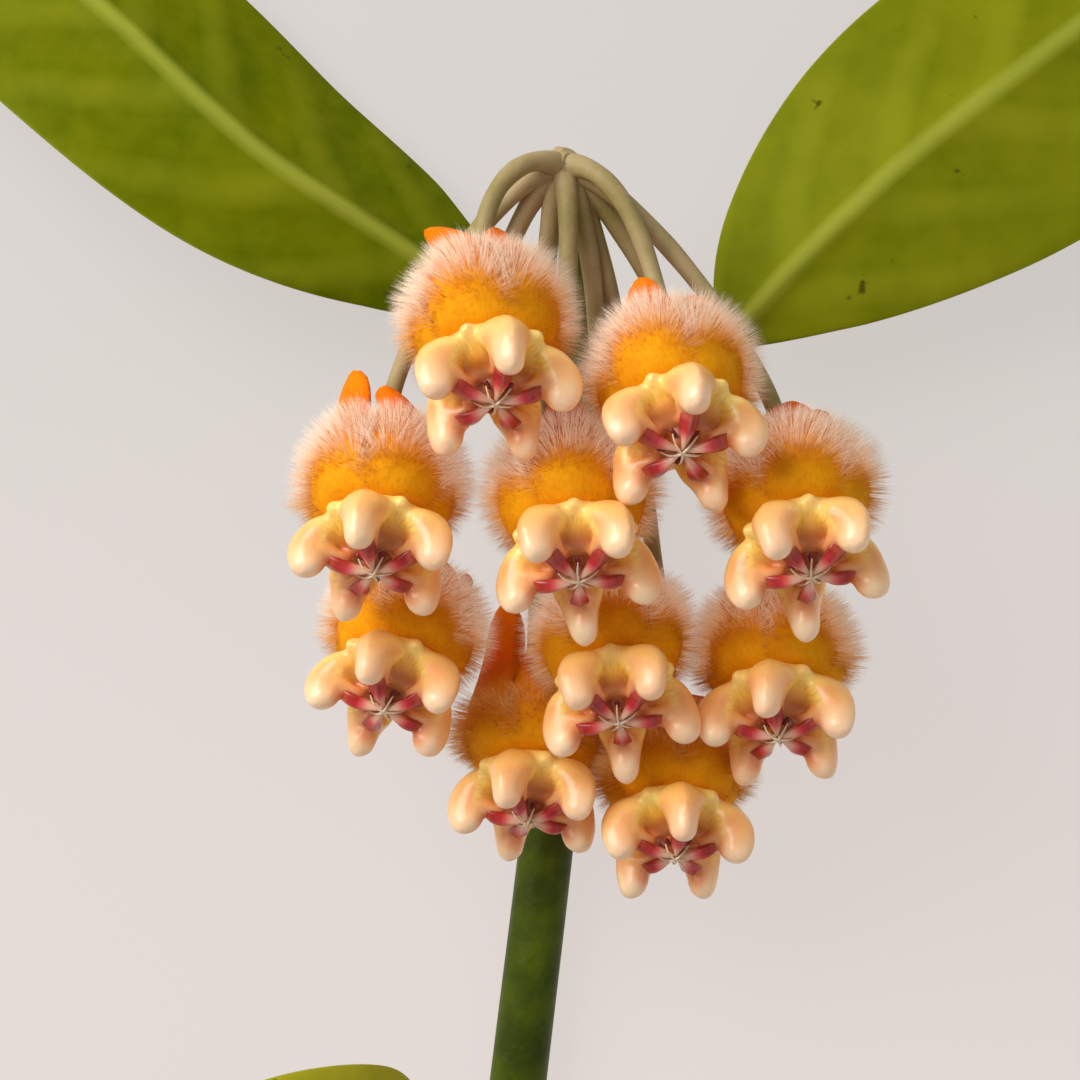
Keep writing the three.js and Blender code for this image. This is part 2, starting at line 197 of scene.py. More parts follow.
def new_piece(name, shells, replaced=(), attributes=None):
    """One object from one or more shells; each shell's faces take the material of its number."""
    points, quads, tris = joined(shells)
    mesh = bpy.data.meshes.new(name)
    mesh.from_pydata(placed(points).tolist(), [], [*quads.tolist(), *tris.tolist()])
    numbers = [np.full(len(shell[k]), i) for k in (1, 2) for i, shell in enumerate(shells)]
    mesh.polygons.foreach_set("material_index", np.concatenate(numbers))
    for key, values in (attributes or {}).items():
        kind, field = ("FLOAT", "value") if values.ndim == 1 else ("FLOAT_VECTOR", "vector")
        made = mesh.attributes.new(key, kind, "POINT")
        made.data.foreach_set(field, values.astype(np.float32).ravel())
    mesh.shade_smooth()
    piece = new_object(name, mesh)
    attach(piece, "root")
    if replaced:
        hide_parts(*replaced)
    return piece


def triangles_in(pieces):
    return sum(len(p.vertices) - 2 for o in pieces for p in o.data.polygons)


# %% [markdown]
# The stem is a green rod as thick as a pencil. It swells at the two nodes where leaves leave it, ends
# in a bud of two folded leaves, and was cut straight through at its lower end. It lies on a slightly
# flattened underside, which is what the whole shoot rests on.

# %% The stem
STEM = {
    "line": [[-6.2, -90], [-4.3, -77], [-0.7, -48], [3.4, -14], [7.2, 12.5], [7.9, 18.5]],
    "height": 3.05,
    "radius": (3.45, 2.95),
    "nodes": [(-77, 0.75), (12.5, 0.85)],
    "node_length": 4.5,
    "bud": 5.0,
    "sides": 32,
}
UP = (0, 0, 1)


def stem_shell():
    """Radius = taper + a bell round each node, times a root curve over the bud, times faint ridges."""
    line = smooth_path([[x, y, STEM["height"]] for x, y in STEM["line"]], 170)
    along = np.linspace(0, 1, len(line))
    radius = np.interp(along, [0, 1], STEM["radius"])
    for y, swell in STEM["nodes"]:
        radius += swell * np.exp(-(((line[:, 1] - y) / STEM["node_length"]) ** 2))
    from_tip = (1 - along) * length_of(line) / STEM["bud"]
    radius *= np.sqrt(np.clip(0.02 + 0.98 * from_tip, 0, 1))
    rings = tube(line, radius, STEM["sides"], UP)
    angle = circle(STEM["sides"])
    bud = ease(from_tip, 1.6, 0.4)[:, None]
    ridges = 1 + 0.006 * np.cos(9 * angle + 4 * along[:, None]) - 0.09 * bud * np.cos(angle) ** 8
    rings = line[:, None] + (rings - line[:, None]) * ridges[..., None]
    cut = line[0] + (rings[0] - line[0]) * np.array([0.93, 0.5])[:, None, None]
    rings = np.concatenate([cut[::-1], rings])
    rings[..., 2] = np.maximum(rings[..., 2], 0)
    on_cut = np.zeros(rings.shape[:2])
    on_cut[:2] = 1
    return loft(rings), np.append(on_cut.ravel(), [1, 0])


shell, on_cut = stem_shell()
stem = new_piece("stem_skin", [shell], ["stem"], {"on_cut": on_cut})
print("stem", triangles_in([stem]), "triangles")

# %% [markdown]
# A peduncle carries the bunch. It blooms again from the same knob year after year, so its end is
# ringed with the scars of old flower stalks. The ten stalks of this bunch, the pedicels, arch out of
# the knob, hang behind the blooms and run up inside the folded petals. Each is one smooth line whose
# last stretch is the bloom's own axis, so that the bloom really hangs on it.

# %% Where the blooms are
KNOB = np.array([2.4, 40.4, 24.0])
KNOB_RADIUS = 2.1
PEDUNCLE = {
    "line": [[5.7, 14.2, 7.7], [5, 21, 10], [4, 30, 12.8], [2.9, 37.6, 16.6], [2.45, 40.2, 21.5]],
    "radius": (1.75, 1.35),
}
PEDICEL = {"radii": [1.15, 1, 0.95, 1.15], "inside": 12.5, "pull": 9.0, "seat": -7.95}

# The middle of the heart, how far the face tips down, turns and is spun, in degrees, and which way the
# pedicel leaves the knob.
BLOOMS = [
    {"at": (-4.4, 13.5, 46.5), "tip": 50, "turn": 7, "spin": -7, "leave": (-5, 1.5, 7)},
    {"at": (14, 8.7, 46.5), "tip": 43, "turn": 4, "spin": -6, "leave": (6.5, 0.5, 6)},
    {"at": (-16.8, -3.3, 40.5), "tip": 51, "turn": -2, "spin": 7, "leave": (-9, -2, 1)},
    {"at": (3.9, -4, 42), "tip": 49, "turn": 5, "spin": 42, "leave": (1.5, -5, 4)},
    {"at": (27.2, -3.6, 42), "tip": 49, "turn": 7, "spin": 41, "leave": (9, -2.5, 1.5)},
    {"at": (-16.5, -18, 29), "tip": 47, "turn": -13, "spin": 0, "leave": (-8, -5, -1)},
    {"at": (8.3, -19, 32), "tip": 47, "turn": 4, "spin": 46, "leave": (5, -6, 1)},
    {"at": (25.3, -21, 28.5), "tip": 49, "turn": -3, "spin": 9, "leave": (8, -3.5, -1)},
    {"at": (-1.3, -30.6, 22.5), "tip": 57, "turn": -4, "spin": 15, "leave": (-3, -7, 0)},
    {"at": (14.7, -34.4, 23.2), "tip": 52, "turn": 0, "spin": -5, "leave": (6, -5, -1.5)},
]


def stand_of(bloom):
    """A bloom's turn as a matrix, about Y by turn, then X by tip, then Z by spin; its face is +Z."""
    tip, turn, spin = np.radians([bloom["tip"], bloom["turn"], bloom["spin"]])
    about_x = [[1, 0, 0], [0, np.cos(tip), -np.sin(tip)], [0, np.sin(tip), np.cos(tip)]]
    about_y = [[np.cos(turn), 0, np.sin(turn)], [0, 1, 0], [-np.sin(turn), 0, np.cos(turn)]]
    about_z = [[np.cos(spin), -np.sin(spin), 0], [np.sin(spin), np.cos(spin), 0], [0, 0, 1]]
    return np.array(about_y) @ np.array(about_x) @ np.array(about_z)


def stood(bloom, points):
    """Points from a bloom's own frame to the layout."""
    return np.asarray(points, float) @ stand_of(bloom).T + np.array(bloom["at"])


# %% The peduncle, the knob and the pedicels
def flattest_normal(points):
    """The direction in which a line of points reaches least, from their singular values."""
    return np.linalg.svd(points - points.mean(0))[2][2]


def pedicel_shell(bloom):
    """A cubic Bezier from the knob to the bloom's axis, then along that axis to the seat."""
    mouth = PEDICEL["seat"] - PEDICEL["inside"]
    heights = [mouth - PEDICEL["pull"], mouth, mouth + PEDICEL["inside"] / 2, PEDICEL["seat"]]
    pull, foot, middle, seat = stood(bloom, [[0, 0, h] for h in heights])
    t = np.linspace(0, 1, 9)[:, None]
    leave = KNOB + np.array(bloom["leave"])
    way = (1 - t) ** 3 * KNOB + 3 * t * (1 - t) ** 2 * leave + 3 * t**2 * (1 - t) * pull + t**3 * foot
    line = smooth_path(np.vstack([way, middle, seat]), 64)
    share = np.linspace(0, 1, len(line))
    radii = smooth_values(PEDICEL["radii"], share) * (1 + 0.03 * np.sin(37 * share + bloom["spin"]))
    radii += 0.45 * np.exp(-(share / 0.06) ** 2)
    return loft(tube(line, radii, 14, flattest_normal(line)))


def knob_shell():
    """A ball whose surface is bossed by low waves, where old stalks have fallen off."""
    polar = np.linspace(0.03, np.pi - 0.03, 26)[:, None]
    angle = circle(40)
    bosses = np.sin(7 * angle + 3 * polar) * np.sin(5 * polar + 2 * angle)
    radius = KNOB_RADIUS + 0.16 * bosses
    ball = [np.sin(polar) * np.cos(angle), np.sin(polar) * np.sin(angle), np.cos(polar) + 0 * angle]
    return loft(KNOB + radius[..., None] * np.stack(ball, axis=-1))


def peduncle_shell():
    line = smooth_path(PEDUNCLE["line"], 90)
    share = np.linspace(0, 1, len(line))
    rings_of_scars = 0.07 * np.sin(75 * share) * ease(share, 0.6, 0.95)
    radii = np.interp(share, [0, 1], PEDUNCLE["radius"]) + rings_of_scars
    radii += 0.5 * np.exp(-(share / 0.05) ** 2)
    return loft(tube(line, radii, 20, (1, 0, 0)))


peduncle = new_piece("peduncle_skin", [peduncle_shell()], ["peduncle"])
pedicels = new_piece(
    "pedicels_skin", [joined([knob_shell(), *map(pedicel_shell, BLOOMS)])], ["pedicels"]
)
print("stalks", triangles_in([peduncle, pedicels]), "triangles")

# %% [markdown]
# A hoya's leaf is thick and waxy, and arches between its stalk and its tip. The midrib stands out
# below and the side veins are only hinted at. The whole leaf, stalk and blade, is one loft of flat
# sections along the midrib: round where it is stalk, a thin lens with a rib where it is blade.

# %% The leaves
LEAF = {
    "blade": 0.7,
    "rib_height": 0.9,
    "rib_width": 1.5,
    "petiole_radius": 1.45,
}

# Each blade has two sides, left and right of its rib as one walks to the tip: the share of the width
# that the side has, and the powers a and b of its outline.
LEAVES = {
    "leaf_upper_left": {
        "petiole": [[3.5, 14.5, 4.3], [-0.6, 19.4, 6.4]],
        "blade": [
            [-5.2, 25.8, 8.4], [-15.3, 32.9, 11.2], [-31.9, 43.9, 13.8],
            [-51, 61.4, 12.6], [-72, 78, 8], [-94, 94.5, 0.3],
        ],
        "face": (0.3, 0.37, 1), "width": 31, "droop": 0.22, "wave": 0.7,
        "sides": ((1, 0.85, 0.95), (1, 0.55, 0.95)),
    },
    "leaf_upper_right": {
        "petiole": [[11.55, 13.3, 4.4], [16.2, 17.4, 6.8]],
        "blade": [
            [21.4, 22.7, 8.4], [29.2, 31.4, 11], [41.3, 42.9, 13.3],
            [56.4, 54.7, 13], [80, 72.5, 7.5], [105, 90, 0.3],
        ],
        "face": (-0.16, 0.15, 1), "width": 39.5, "droop": 0.2, "wave": 0.8,
        "sides": ((0.89, 0.62, 0.95), (1, 0.82, 0.95)),
    },
    "leaf_lower_left": {
        "petiole": [[-8.9, -76.5, 5], [-10.2, -76.4, 8.6]],
        "blade": [
            [-10.4, -75.8, 12.4], [-10.4, -73.2, 24], [-13.6, -70.8, 37],
            [-25, -69.1, 49], [-44, -68.3, 54],
        ],
        "face": (0.8, 0.1, 0.5), "width": 34, "droop": 0.15, "wave": 0.5,
        "sides": ((1, 0.6, 0.5), (1, 0.6, 0.5)),
    },
    "leaf_lower_right": {
        "petiole": [[0.1, -78, 4.3], [3.6, -79.8, 5.4]],
        "blade": [
            [7.6, -81.8, 6.2], [22, -88.6, 8.6], [42, -96.6, 8.4], [64, -104, 5],
            [88, -110.5, 0.3],
        ],
        "face": (0.05, 0.12, 1), "width": 36, "droop": 0.2, "wave": 0.8,
        "sides": ((1, 0.7, 0.95), (1, 0.7, 0.95)),
    },
}


def side_width(s, widest, side):
    """One side's width at s, 0 at the blade's foot and 1 at its tip: s^a (1 - s)^b, 1 at its peak."""
    share, a, b = side
    peak = a / (a + b)
    return widest * share * (s / peak) ** a * ((1 - s) / (1 - peak)) ** b


def leaf_shell(shape, stations=110, across=34):
    """Sections at even steps of the midrib: a row of points over the blade and a row back under it.

    A point stands u half widths beside the rib, u from -1 to 1, and is lifted by a wave along the
    margin, less a droop that grows with |u|. Half the thickness is round in the stalk, and in the
    blade it is a thin wall plus a bell over the rib, closed by a root curve at the margin.
    """
    line = smooth_path([*shape["petiole"], *shape["blade"]], stations)
    stalk_length = length_of(smooth_path([*shape["petiole"], shape["blade"][0]], 200))
    foot = stalk_length / length_of(line)
    _, side, up = frames_along(line, unit(np.array(shape["face"])))
    t = np.linspace(0, 1, stations)
    s = np.clip((t - foot) / (1 - foot), 0, 1)[:, None]
    u = np.sin(np.linspace(-1, 1, across + 1) * np.pi / 2)[None, :]
    left, right = (side_width(s, shape["width"] / 2, side) for side in shape["sides"])
    spread = np.where(u < 0, left, right)
    stalk = np.maximum(0.45, LEAF["petiole_radius"] * (1 - s) ** 2)
    half_width = np.hypot(spread, stalk)
    flat = ease(spread, 0, 3 * LEAF["petiole_radius"])
    rounded = stalk * np.sqrt(np.maximum(0, 1 - u**2))
    beside = u * half_width
    rib = LEAF["rib_height"] * (1 - s) * np.exp(-((beside / LEAF["rib_width"]) ** 2))
    wall = LEAF["blade"] / 2 * np.sqrt(np.maximum(0, 1 - np.abs(u) ** 9))
    half = np.maximum(rounded, 0.02) * (1 - flat) + (wall + rib) * flat
    wave = shape["wave"] * flat * u**2 * np.sin(11 * s + 2.2 * np.sign(u))
    lift = wave - shape["droop"] * np.abs(u) * spread
    centre = line[:, None] + beside[..., None] * side[:, None] + lift[..., None] * up[:, None]
    centre[..., 2] = np.maximum(centre[..., 2], half)
    rows = [centre + sign * half[..., None] * up[:, None] for sign in (1, -1)]
    on_leaf = np.stack([beside, s * length_of(line) * (1 - foot) + 0 * u, flat + 0 * u], axis=-1)
    rings = np.concatenate([rows[0], rows[1][:, ::-1]], axis=1)
    rings[..., 2] = np.maximum(rings[..., 2], 0.02)
    faces_up = np.concatenate([np.ones_like(beside), np.zeros_like(beside)], axis=1)
    marks = np.concatenate([on_leaf, on_leaf[:, ::-1]], axis=1).reshape(-1, 3)
    ends = np.stack([on_leaf[0].mean(0), on_leaf[-1].mean(0)])
    reach = np.concatenate([np.abs(u) + 0 * s, (np.abs(u) + 0 * s)[:, ::-1]], axis=1)
    return loft(rings), {
        "on_leaf": np.vstack([marks, ends]),
        "upper_face": np.append(faces_up.ravel(), [0.5, 0.5]),
        "to_margin": np.append(reach.ravel(), [0, 0]),
    }


leaves = []
for name, shape in LEAVES.items():
    shell, marks = leaf_shell(shape)
    leaves.append(new_piece(name + "_skin", [shell], [name], marks))
print("leaves", triangles_in(leaves), "triangles")

# %% [markdown]
# A bloom of this hoya is turned inside out: its five petals fold right back round the stalk, and
# their hairy inner face becomes the outside of a furry ball. The ball is a sheet laid out by petal,
# across and along. Neighbouring petals are one sheet as far as the notch, and past it each one
# narrows to a bare tip. Solidify gives the sheet its wall, and one Subdivision rounds its margins.

# %% The corolla's surface
FIFTH = 2 * np.pi / 5
PETAL = {
    "reach": [0, 4.8, 6.65, 7.1, 6.75, 6.0, 5.35, 5.4],
    "height": [-6.9, -6.95, -8.5, -10.8, -13.4, -15.9, -18.1, -20.0],
    "notch": 0.58,
    "thickness": 0.75,
    "groove": 0.075,
}
ROUNDING_LEVELS = 1

# Petals whose tips stand out longer than the others' or lean round the stalk, by bloom and petal:
# millimetres longer, degrees round, the share by which they are wider, and millimetres outwards.
ODD_TIPS = {
    1: {0: (1.4, 37, -0.6, 1.0), 4: (-1.4, 42, -0.3, 0)},
    2: {0: (1.7, -1, -0.2, 0), 4: (-1.2, 0, 0, 0)},
    3: {0: (3.8, -10, 0, 0), 4: (0.1, 30, -0.35, 0)},
    5: {4: (-1.6, -5, 0, 0), 3: (-2.0, 34, 0, 0)},
    6: {4: (-2.8, 0, 0, 0)},
    9: {0: (5.4, -13, 0.7, 0)},
    10: {0: (-1.4, 0, 0, 0), 4: (-2.8, 0, 0, 0)},
}


def petal_share(v):
    """How much of its fifth a petal fills at v: all of it to the notch, then (1 - w^2.4)^0.6."""
    w = np.clip((v - PETAL["notch"]) / (1 - PETAL["notch"]), 0, 1)
    return (1 - w**2.4) ** 0.6


def petal_points(petal, across, v):
    """The outside of the corolla in its bloom's frame.

    v runs along the midline from the face's middle to the tip, across from margin to margin, -1 to
    1. The radius sinks into a groove towards the margins, as 1 - groove * across^2.
    """
    radius = smooth_values(PETAL["reach"], v)
    height = smooth_values(PETAL["height"], v)
    radius = radius * (1 - PETAL["groove"] * across**2 * np.minimum(1, v * 3.5))
    angle = (petal + 0.5 + across / 2 * petal_share(v)) * FIFTH + np.pi / 2
    return np.stack([radius * np.cos(angle), radius * np.sin(angle), height + 0 * angle], axis=-1)


# Where the tips' shifts start, over what depth they grow, and how wide a petal is, in radians: its
# half, and the part that moves fully.
TIP_SHIFT = {"from": -14.0, "over": 6.2, "half_angle": 0.63, "full": 0.3}


def with_odd_tips(points, number):
    """Some petals reach further back or round than the others, more so the deeper a point lies.

    The share of the shift is ((from - z) / over)^2, times an ease over the angle to the petal's
    middle.
    """
    reach = np.hypot(points[:, 0], points[:, 1])
    angle = np.arctan2(points[:, 1], points[:, 0])
    depth = np.clip((TIP_SHIFT["from"] - points[:, 2]) / TIP_SHIFT["over"], 0, 1) ** 2
    half = TIP_SHIFT["half_angle"]
    longer, round_by = np.zeros(len(points)), np.zeros(len(points))
    for petal, (length, degrees, wider, outwards) in ODD_TIPS.get(number, {}).items():
        off = (angle - np.pi / 2 - (petal + 0.5) * FIFTH + np.pi) % (2 * np.pi) - np.pi
        near = depth * ease(np.abs(off), half, TIP_SHIFT["full"])
        longer += near * length
        reach += near * outwards
        round_by += near * np.radians(degrees) + np.sqrt(depth) * (np.abs(off) < half) * wider * off
    return about_axis(reach, angle + round_by, points[:, 2] - longer)


def petal_normals(petal, across, v):
    """The surface's outward normal, from two small steps on it."""
    step = 1e-3
    along = petal_points(petal, across, v + step) - petal_points(petal, across, v - step)
    over = petal_points(petal, across + step, v) - petal_points(petal, across - step, v)
    return unit(np.cross(over, along)) * -1


def about_axis(reach, angle, height):
    """Points at a distance, an angle and a height about a bloom's axis."""
    reach, angle, height = np.broadcast_arrays(reach, angle, height)
    return np.stack([reach * np.cos(angle), reach * np.sin(angle), height], axis=-1).astype(float)


def corolla_sheet(columns=6, rows=16):
    """The five petals' grids, in one list of points whose doubles are merged later."""
    sheets = []
    for petal in range(5):
        across, v = np.meshgrid(np.linspace(-1, 1, columns + 1), np.linspace(0, 1, rows + 1))
        points = petal_points(petal, across, v).reshape(-1, 3)
        grid = np.arange(len(points)).reshape(rows + 1, columns + 1)
        quads = np.stack([grid[:-1, :-1], grid[:-1, 1:], grid[1:, 1:], grid[1:, :-1]], axis=-1)
        sheets.append((points, quads.reshape(-1, 4), np.zeros((0, 3), int)))
    return joined(sheets)


out = petal_normals(np.zeros(2), np.zeros(2), np.array([0.1, 0.5]))
print("corolla normals near the face and on the side:", out.round(2).tolist())

# %% The corollas
def sheet_piece(name, shell, bloom, replaced):
    """A sheet stood on its bloom; doubles at its seams and pole are merged before it gets a wall."""
    points, quads, _ = shell
    _, first, kept = np.unique(points.round(3), axis=0, return_index=True, return_inverse=True)
    kept = kept.ravel()[quads]
    whole = np.array([len(set(face)) for face in kept.tolist()])
    tris = [list(dict.fromkeys(face)) for face in kept[whole == 3].tolist()]
    local = points[first]
    merged = (stood(bloom, local), kept[whole == 4], np.array(tris))
    piece = new_piece(name, [merged], replaced, {"bloom_place": local})
    wall = piece.modifiers.new("wall", "SOLIDIFY")
    wall.thickness = PETAL["thickness"] * MM
    wall.offset = -1
    wall.use_even_offset = True
    rounding = piece.modifiers.new("rounding", "SUBSURF")
    rounding.levels = ROUNDING_LEVELS
    rounding.render_levels = ROUNDING_LEVELS
    return piece


corollas = []
for number, bloom in enumerate(BLOOMS, 1):
    name = f"bloom_{number:02d}_corolla"
    points, quads, tris = corolla_sheet()
    sheet = (with_odd_tips(points, number), quads, tris)
    corollas.append(sheet_piece(name + "_skin", sheet, bloom, [name]))
rounded = 2 * 4**ROUNDING_LEVELS * triangles_in(corollas)
print("corollas", rounded, "triangles on both sides of their walls, rounded")

# %% [markdown]
# The hairs stand straight out of the petals, up to four millimetres long, and their tips lean
# together in small tufts. They hide the petals only where they are seen from the side, which is why
# each bloom has a pale halo round a clear orange middle. Blender's own hair would be lost in an
# export, so every hair is a real, closed spike of four triangles, and all are worked out at once.

# %% The hairs
HAIR = {
    "count": 9800,
    "from": 0.18,
    "to": 0.82,
    "fewer": 0.6,
    "length": 3.75,
    "length_share": (0.7, 1.08),
    "shortest": 0.25,
    "full_length": (0.23, 0.43),
    "full_paleness": (0.31, 0.48),
    "radius": 0.031,
    "sunk": 0.12,
    "tufts": 1300,
    "tuft_width": 0.35,
    "gather": 0.75,
    "spread": 0.13,
    "crossing": 0.45,
}

# Blooms deep in the bunch whose fur is painted yellower, as painted shade: their share of the full
# paleness.
SHADED_FUR_PALENESS = {8: 0.85, 9: 0.3, 10: 0.35}

# Where petal 0 of a bloom has lost its fur, and its neighbours beside it.
BARE_FROM = {9: 0.5}


def hair_places(rng):
    """Petal, across and v, even by area: v is drawn by the running sum of reach * share * step.

    Fewer grow near the face and near the tips.
    """
    v = np.linspace(HAIR["from"], HAIR["to"], 300)
    line = np.stack([smooth_values(PETAL["reach"], v), smooth_values(PETAL["height"], v)], axis=1)
    step = np.linalg.norm(np.gradient(line, axis=0), axis=1)
    few = HAIR["fewer"]
    wanted = (few + (1 - few) * ease(v, 0.24, 0.36)) * (1 - few * ease(v, 0.66, HAIR["to"]))
    weight = np.cumsum(line[:, 0] * petal_share(v) * step * wanted)
    drawn = np.interp(rng.random(HAIR["count"]), weight / weight[-1], v)
    return rng.integers(0, 5, HAIR["count"]), rng.uniform(-1, 1, HAIR["count"]), drawn


def nearest(points, centres):
    """The number of the nearest centre to each point, by the least c.c - 2 p.c.

    That is the squared distance less p.p, which is the same for every centre.
    """
    squared = (centres**2).sum(1)[None] - 2 * points @ centres.T
    return squared.argmin(1)


def hair_shell(rng, bare_from):
    """Spikes in the bloom's own frame: three points round each root and one at its tip.

    A hair leans off the normal at random, and near a seam it leans over the seam by across^4. The
    fur grows long and pale at v + 0.14 |across|^2.5, so sooner along the seams.
    """
    petal, across, v = hair_places(rng)
    from_first = (petal + across / 2 + 2.5) % 5 - 2.5
    kept = (np.abs(from_first) > 0.8) | (v < bare_from)
    petal, across, v = petal[kept], across[kept], v[kept]
    grown = v + 0.14 * np.abs(across) ** 2.5
    roots = petal_points(petal, across, v)
    normals = petal_normals(petal, across, v)
    count = len(roots)
    over_seam = (np.sign(across) * across**4)[:, None]
    seam = unit(petal_points(petal, across + 1e-3, v) - roots) * over_seam
    lean = unit(normals + HAIR["crossing"] * seam + HAIR["spread"] * rng.normal(size=(count, 3)))
    length = HAIR["length"] * rng.uniform(*HAIR["length_share"], count)
    short = HAIR["shortest"]
    growth = short + (1 - short) * ease(grown, *HAIR["full_length"])
    length *= growth * (1 - HAIR["fewer"] * ease(v, 0.6, HAIR["to"]))
    tips = roots + lean * length[:, None]
    centres = rng.choice(count, HAIR["tufts"], replace=False)
    tuft = centres[nearest(roots, roots[centres])]
    gathered = tips[tuft] + HAIR["tuft_width"] * (roots - roots[tuft])
    tips = tips + HAIR["gather"] * (gathered - tips) * rng.random(count)[:, None]
    roots = roots - HAIR["sunk"] * normals
    side = unit(np.cross(tips - roots, rng.normal(size=(count, 3))))
    over = unit(np.cross(tips - roots, side))
    angle = np.radians([0, 120, 240])[None, :, None]
    ring = np.cos(angle) * side[:, None] + np.sin(angle) * over[:, None]
    points = np.concatenate([roots[:, None] + HAIR["radius"] * ring, tips[:, None]], axis=1)
    start = 4 * np.arange(count)[:, None, None]
    tris = start + np.array([[0, 2, 1], [0, 1, 3], [1, 2, 3], [2, 0, 3]])[None]
    shell = outward((points.reshape(-1, 3), np.zeros((0, 4), int), tris.reshape(-1, 3)))
    at_seam = (np.abs(across) > 0.88) & (v < 0.66) & (rng.random(count) < 0.4)
    at_beak = (np.abs(across) < 0.16) & (v < 0.26)
    marks = {
        "paleness": ease(grown, *HAIR["full_paleness"]),
        "darkness": (at_seam | at_beak).astype(float),
        "tone": rng.random(count) ** 2,
    }
    along = {"along": np.tile([0.0, 0, 0, 1], count)}
    return shell, {**along, **{key: np.repeat(mark, 4) for key, mark in marks.items()}}


furs = []
for number, bloom in enumerate(BLOOMS, 1):
    rng = np.random.default_rng(number)
    (points, quads, tris), marks = hair_shell(rng, BARE_FROM.get(number, 1.0))
    # Fur deep in the bunch is painted less pale: painted shade.
    marks["paleness"] = marks["paleness"] * SHADED_FUR_PALENESS.get(number, 1.0)
    fur = (stood(bloom, with_odd_tips(points, number)), quads, tris)
    furs.append(new_piece(f"bloom_{number:02d}_hairs", [fur], (), marks))
print("hairs", triangles_in(furs), "triangles")

# %% [markdown]
# The crown is solid wax: five thick scales that rise from a low cone and bend forwards like fingers,
# with a small beak on the rim between each two. The parts flow into each other without an edge. They
# are lofted apart, then one voxel remesh makes a single skin of them and a smoothing rounds the
# corners between them. It is made once and bent a little differently for each bloom.

# %% The crown's parts
# Each line is given by its distances from the bloom's axis and its heights towards the face, in
# millimetres. A spur is the tongue on a scale's inner side, under the heart's horn.
SCALE = {
    "reach": [2.4, 4.3, 5.85, 6.55, 6.6, 6.4, 6.1],
    "height": [-5, -4.5, -3.4, -1.75, -0.3, 0.8, 1.6],
    "half_width": [1.9, 2.5, 2.7, 1.95, 1.6, 1.42, 1.12],
    "half_thickness": [1, 1.6, 1.95, 2.05, 1.9, 1.6, 1.25],
}
SPUR = {
    "reach": [6.0, 5.0, 4.1, 3.2, 2.4],
    "height": [-2.0, -1.5, -1.2, -1.15, -1.4],
    "half_width": [1.9, 1.7, 1.35, 1.05, 0.8],
    "half_thickness": [1.1, 0.95, 0.8, 0.65, 0.5],
}
CONE = {
    "reach": [0, 4.2, 5.6, 5.85, 5.3, 4.0, 2.5, 0],
    "height": [-6.6, -6.6, -5.8, -4.8, -3.8, -2.6, -1.8, -1.8],
}
BEAK = {"reach": [5.0, 6.0, 6.5], "height": [-5.0, -4.7, -4.2], "radius": [1.15, 0.9, 0.4]}


def finger(shape, half_width, half_thickness, keel, stations=26, sides=20, round_from=0.79):
    """Oval rings along a line that bends in the plane of the axis, closed to a round tip.

    Past round_from every ring shrinks by sqrt(1 - w^2). The keel raises the outer side where it is
    farthest from the sides, by keel * (1 - |cos a|)^2.
    """
    t = np.linspace(0, 1, stations)
    line = about_axis(smooth_values(shape["reach"], t), 0.0, smooth_values(shape["height"], t))
    run = unit(np.gradient(line, axis=0))
    inner = np.stack([-run[:, 2], 0 * t, run[:, 0]], axis=1)
    w = np.clip((t - round_from) / (1 - round_from), 0, 0.999)
    closing = np.sqrt(1 - w**2)
    a = circle(sides)
    raised = 1 + keel * (np.sin(a) < 0) * (1 - np.abs(np.cos(a))) ** 2
    wide = (smooth_values(half_width, t) * closing)[:, None] * np.cos(a)
    thick = (smooth_values(half_thickness, t) * closing)[:, None] * np.sin(a) * raised
    return line[:, None] + wide[..., None] * np.array([0, 1, 0]) + thick[..., None] * inner[:, None]


def turned(profile, sides=48):
    """A shape turned about the axis, from reaches and heights that start and end on it."""
    angle = circle(sides)
    reach = np.maximum(np.array(profile["reach"], float), 0.01)[:, None]
    return about_axis(reach, angle, np.array(profile["height"], float)[:, None])


def spun(points, angle):
    """Points turned about a bloom's axis, counter-clockwise seen from its face."""
    c, s = np.cos(angle), np.sin(angle)
    return points @ np.array([[c, s, 0], [-s, c, 0], [0, 0, 1]])


def crown_parts():
    scale = finger(SCALE, SCALE["half_width"], SCALE["half_thickness"], keel=0.15)
    spur = finger(SPUR, SPUR["half_width"], SPUR["half_thickness"], keel=0, stations=14, sides=16)
    beak = finger(BEAK, BEAK["radius"], BEAK["radius"], keel=0, stations=10, sides=12)
    parts = [loft(turned(CONE))]
    for i in range(5):
        parts.append(loft(spun(scale, np.pi / 2 + i * FIFTH)))
        parts.append(loft(spun(spur, np.pi / 2 + i * FIFTH)))
        parts.append(loft(spun(beak, np.pi / 2 + (i + 0.5) * FIFTH)))
    return joined(parts)


def remeshed(shell, voxel, smoothings):
    """One skin over a shell whose parts cross: Blender's voxel remesh, then its Smooth modifier."""
    points, quads, tris = shell
    mesh = bpy.data.meshes.new("parts")
    mesh.from_pydata(points.tolist(), [], [*quads.tolist(), *tris.tolist()])
    rough = new_object("parts", mesh)
    skin = rough.modifiers.new("skin", "REMESH")
    skin.mode = "VOXEL"
    skin.voxel_size = voxel
    smooth = rough.modifiers.new("smooth", "SMOOTH")
    smooth.factor = 0.5
    smooth.iterations = smoothings
    bpy.context.view_layer.update()
    made = rough.evaluated_get(bpy.context.evaluated_depsgraph_get()).to_mesh()
    found = np.zeros(len(made.vertices) * 3)
    made.vertices.foreach_get("co", found)
    faces = [list(p.vertices) for p in made.polygons]
    bpy.data.objects.remove(rough)
    fours = np.array([f for f in faces if len(f) == 4])
    threes = np.array([f for f in faces if len(f) == 3]).reshape(-1, 3).astype(int)
    return outward((found.reshape(-1, 3), fours, threes))


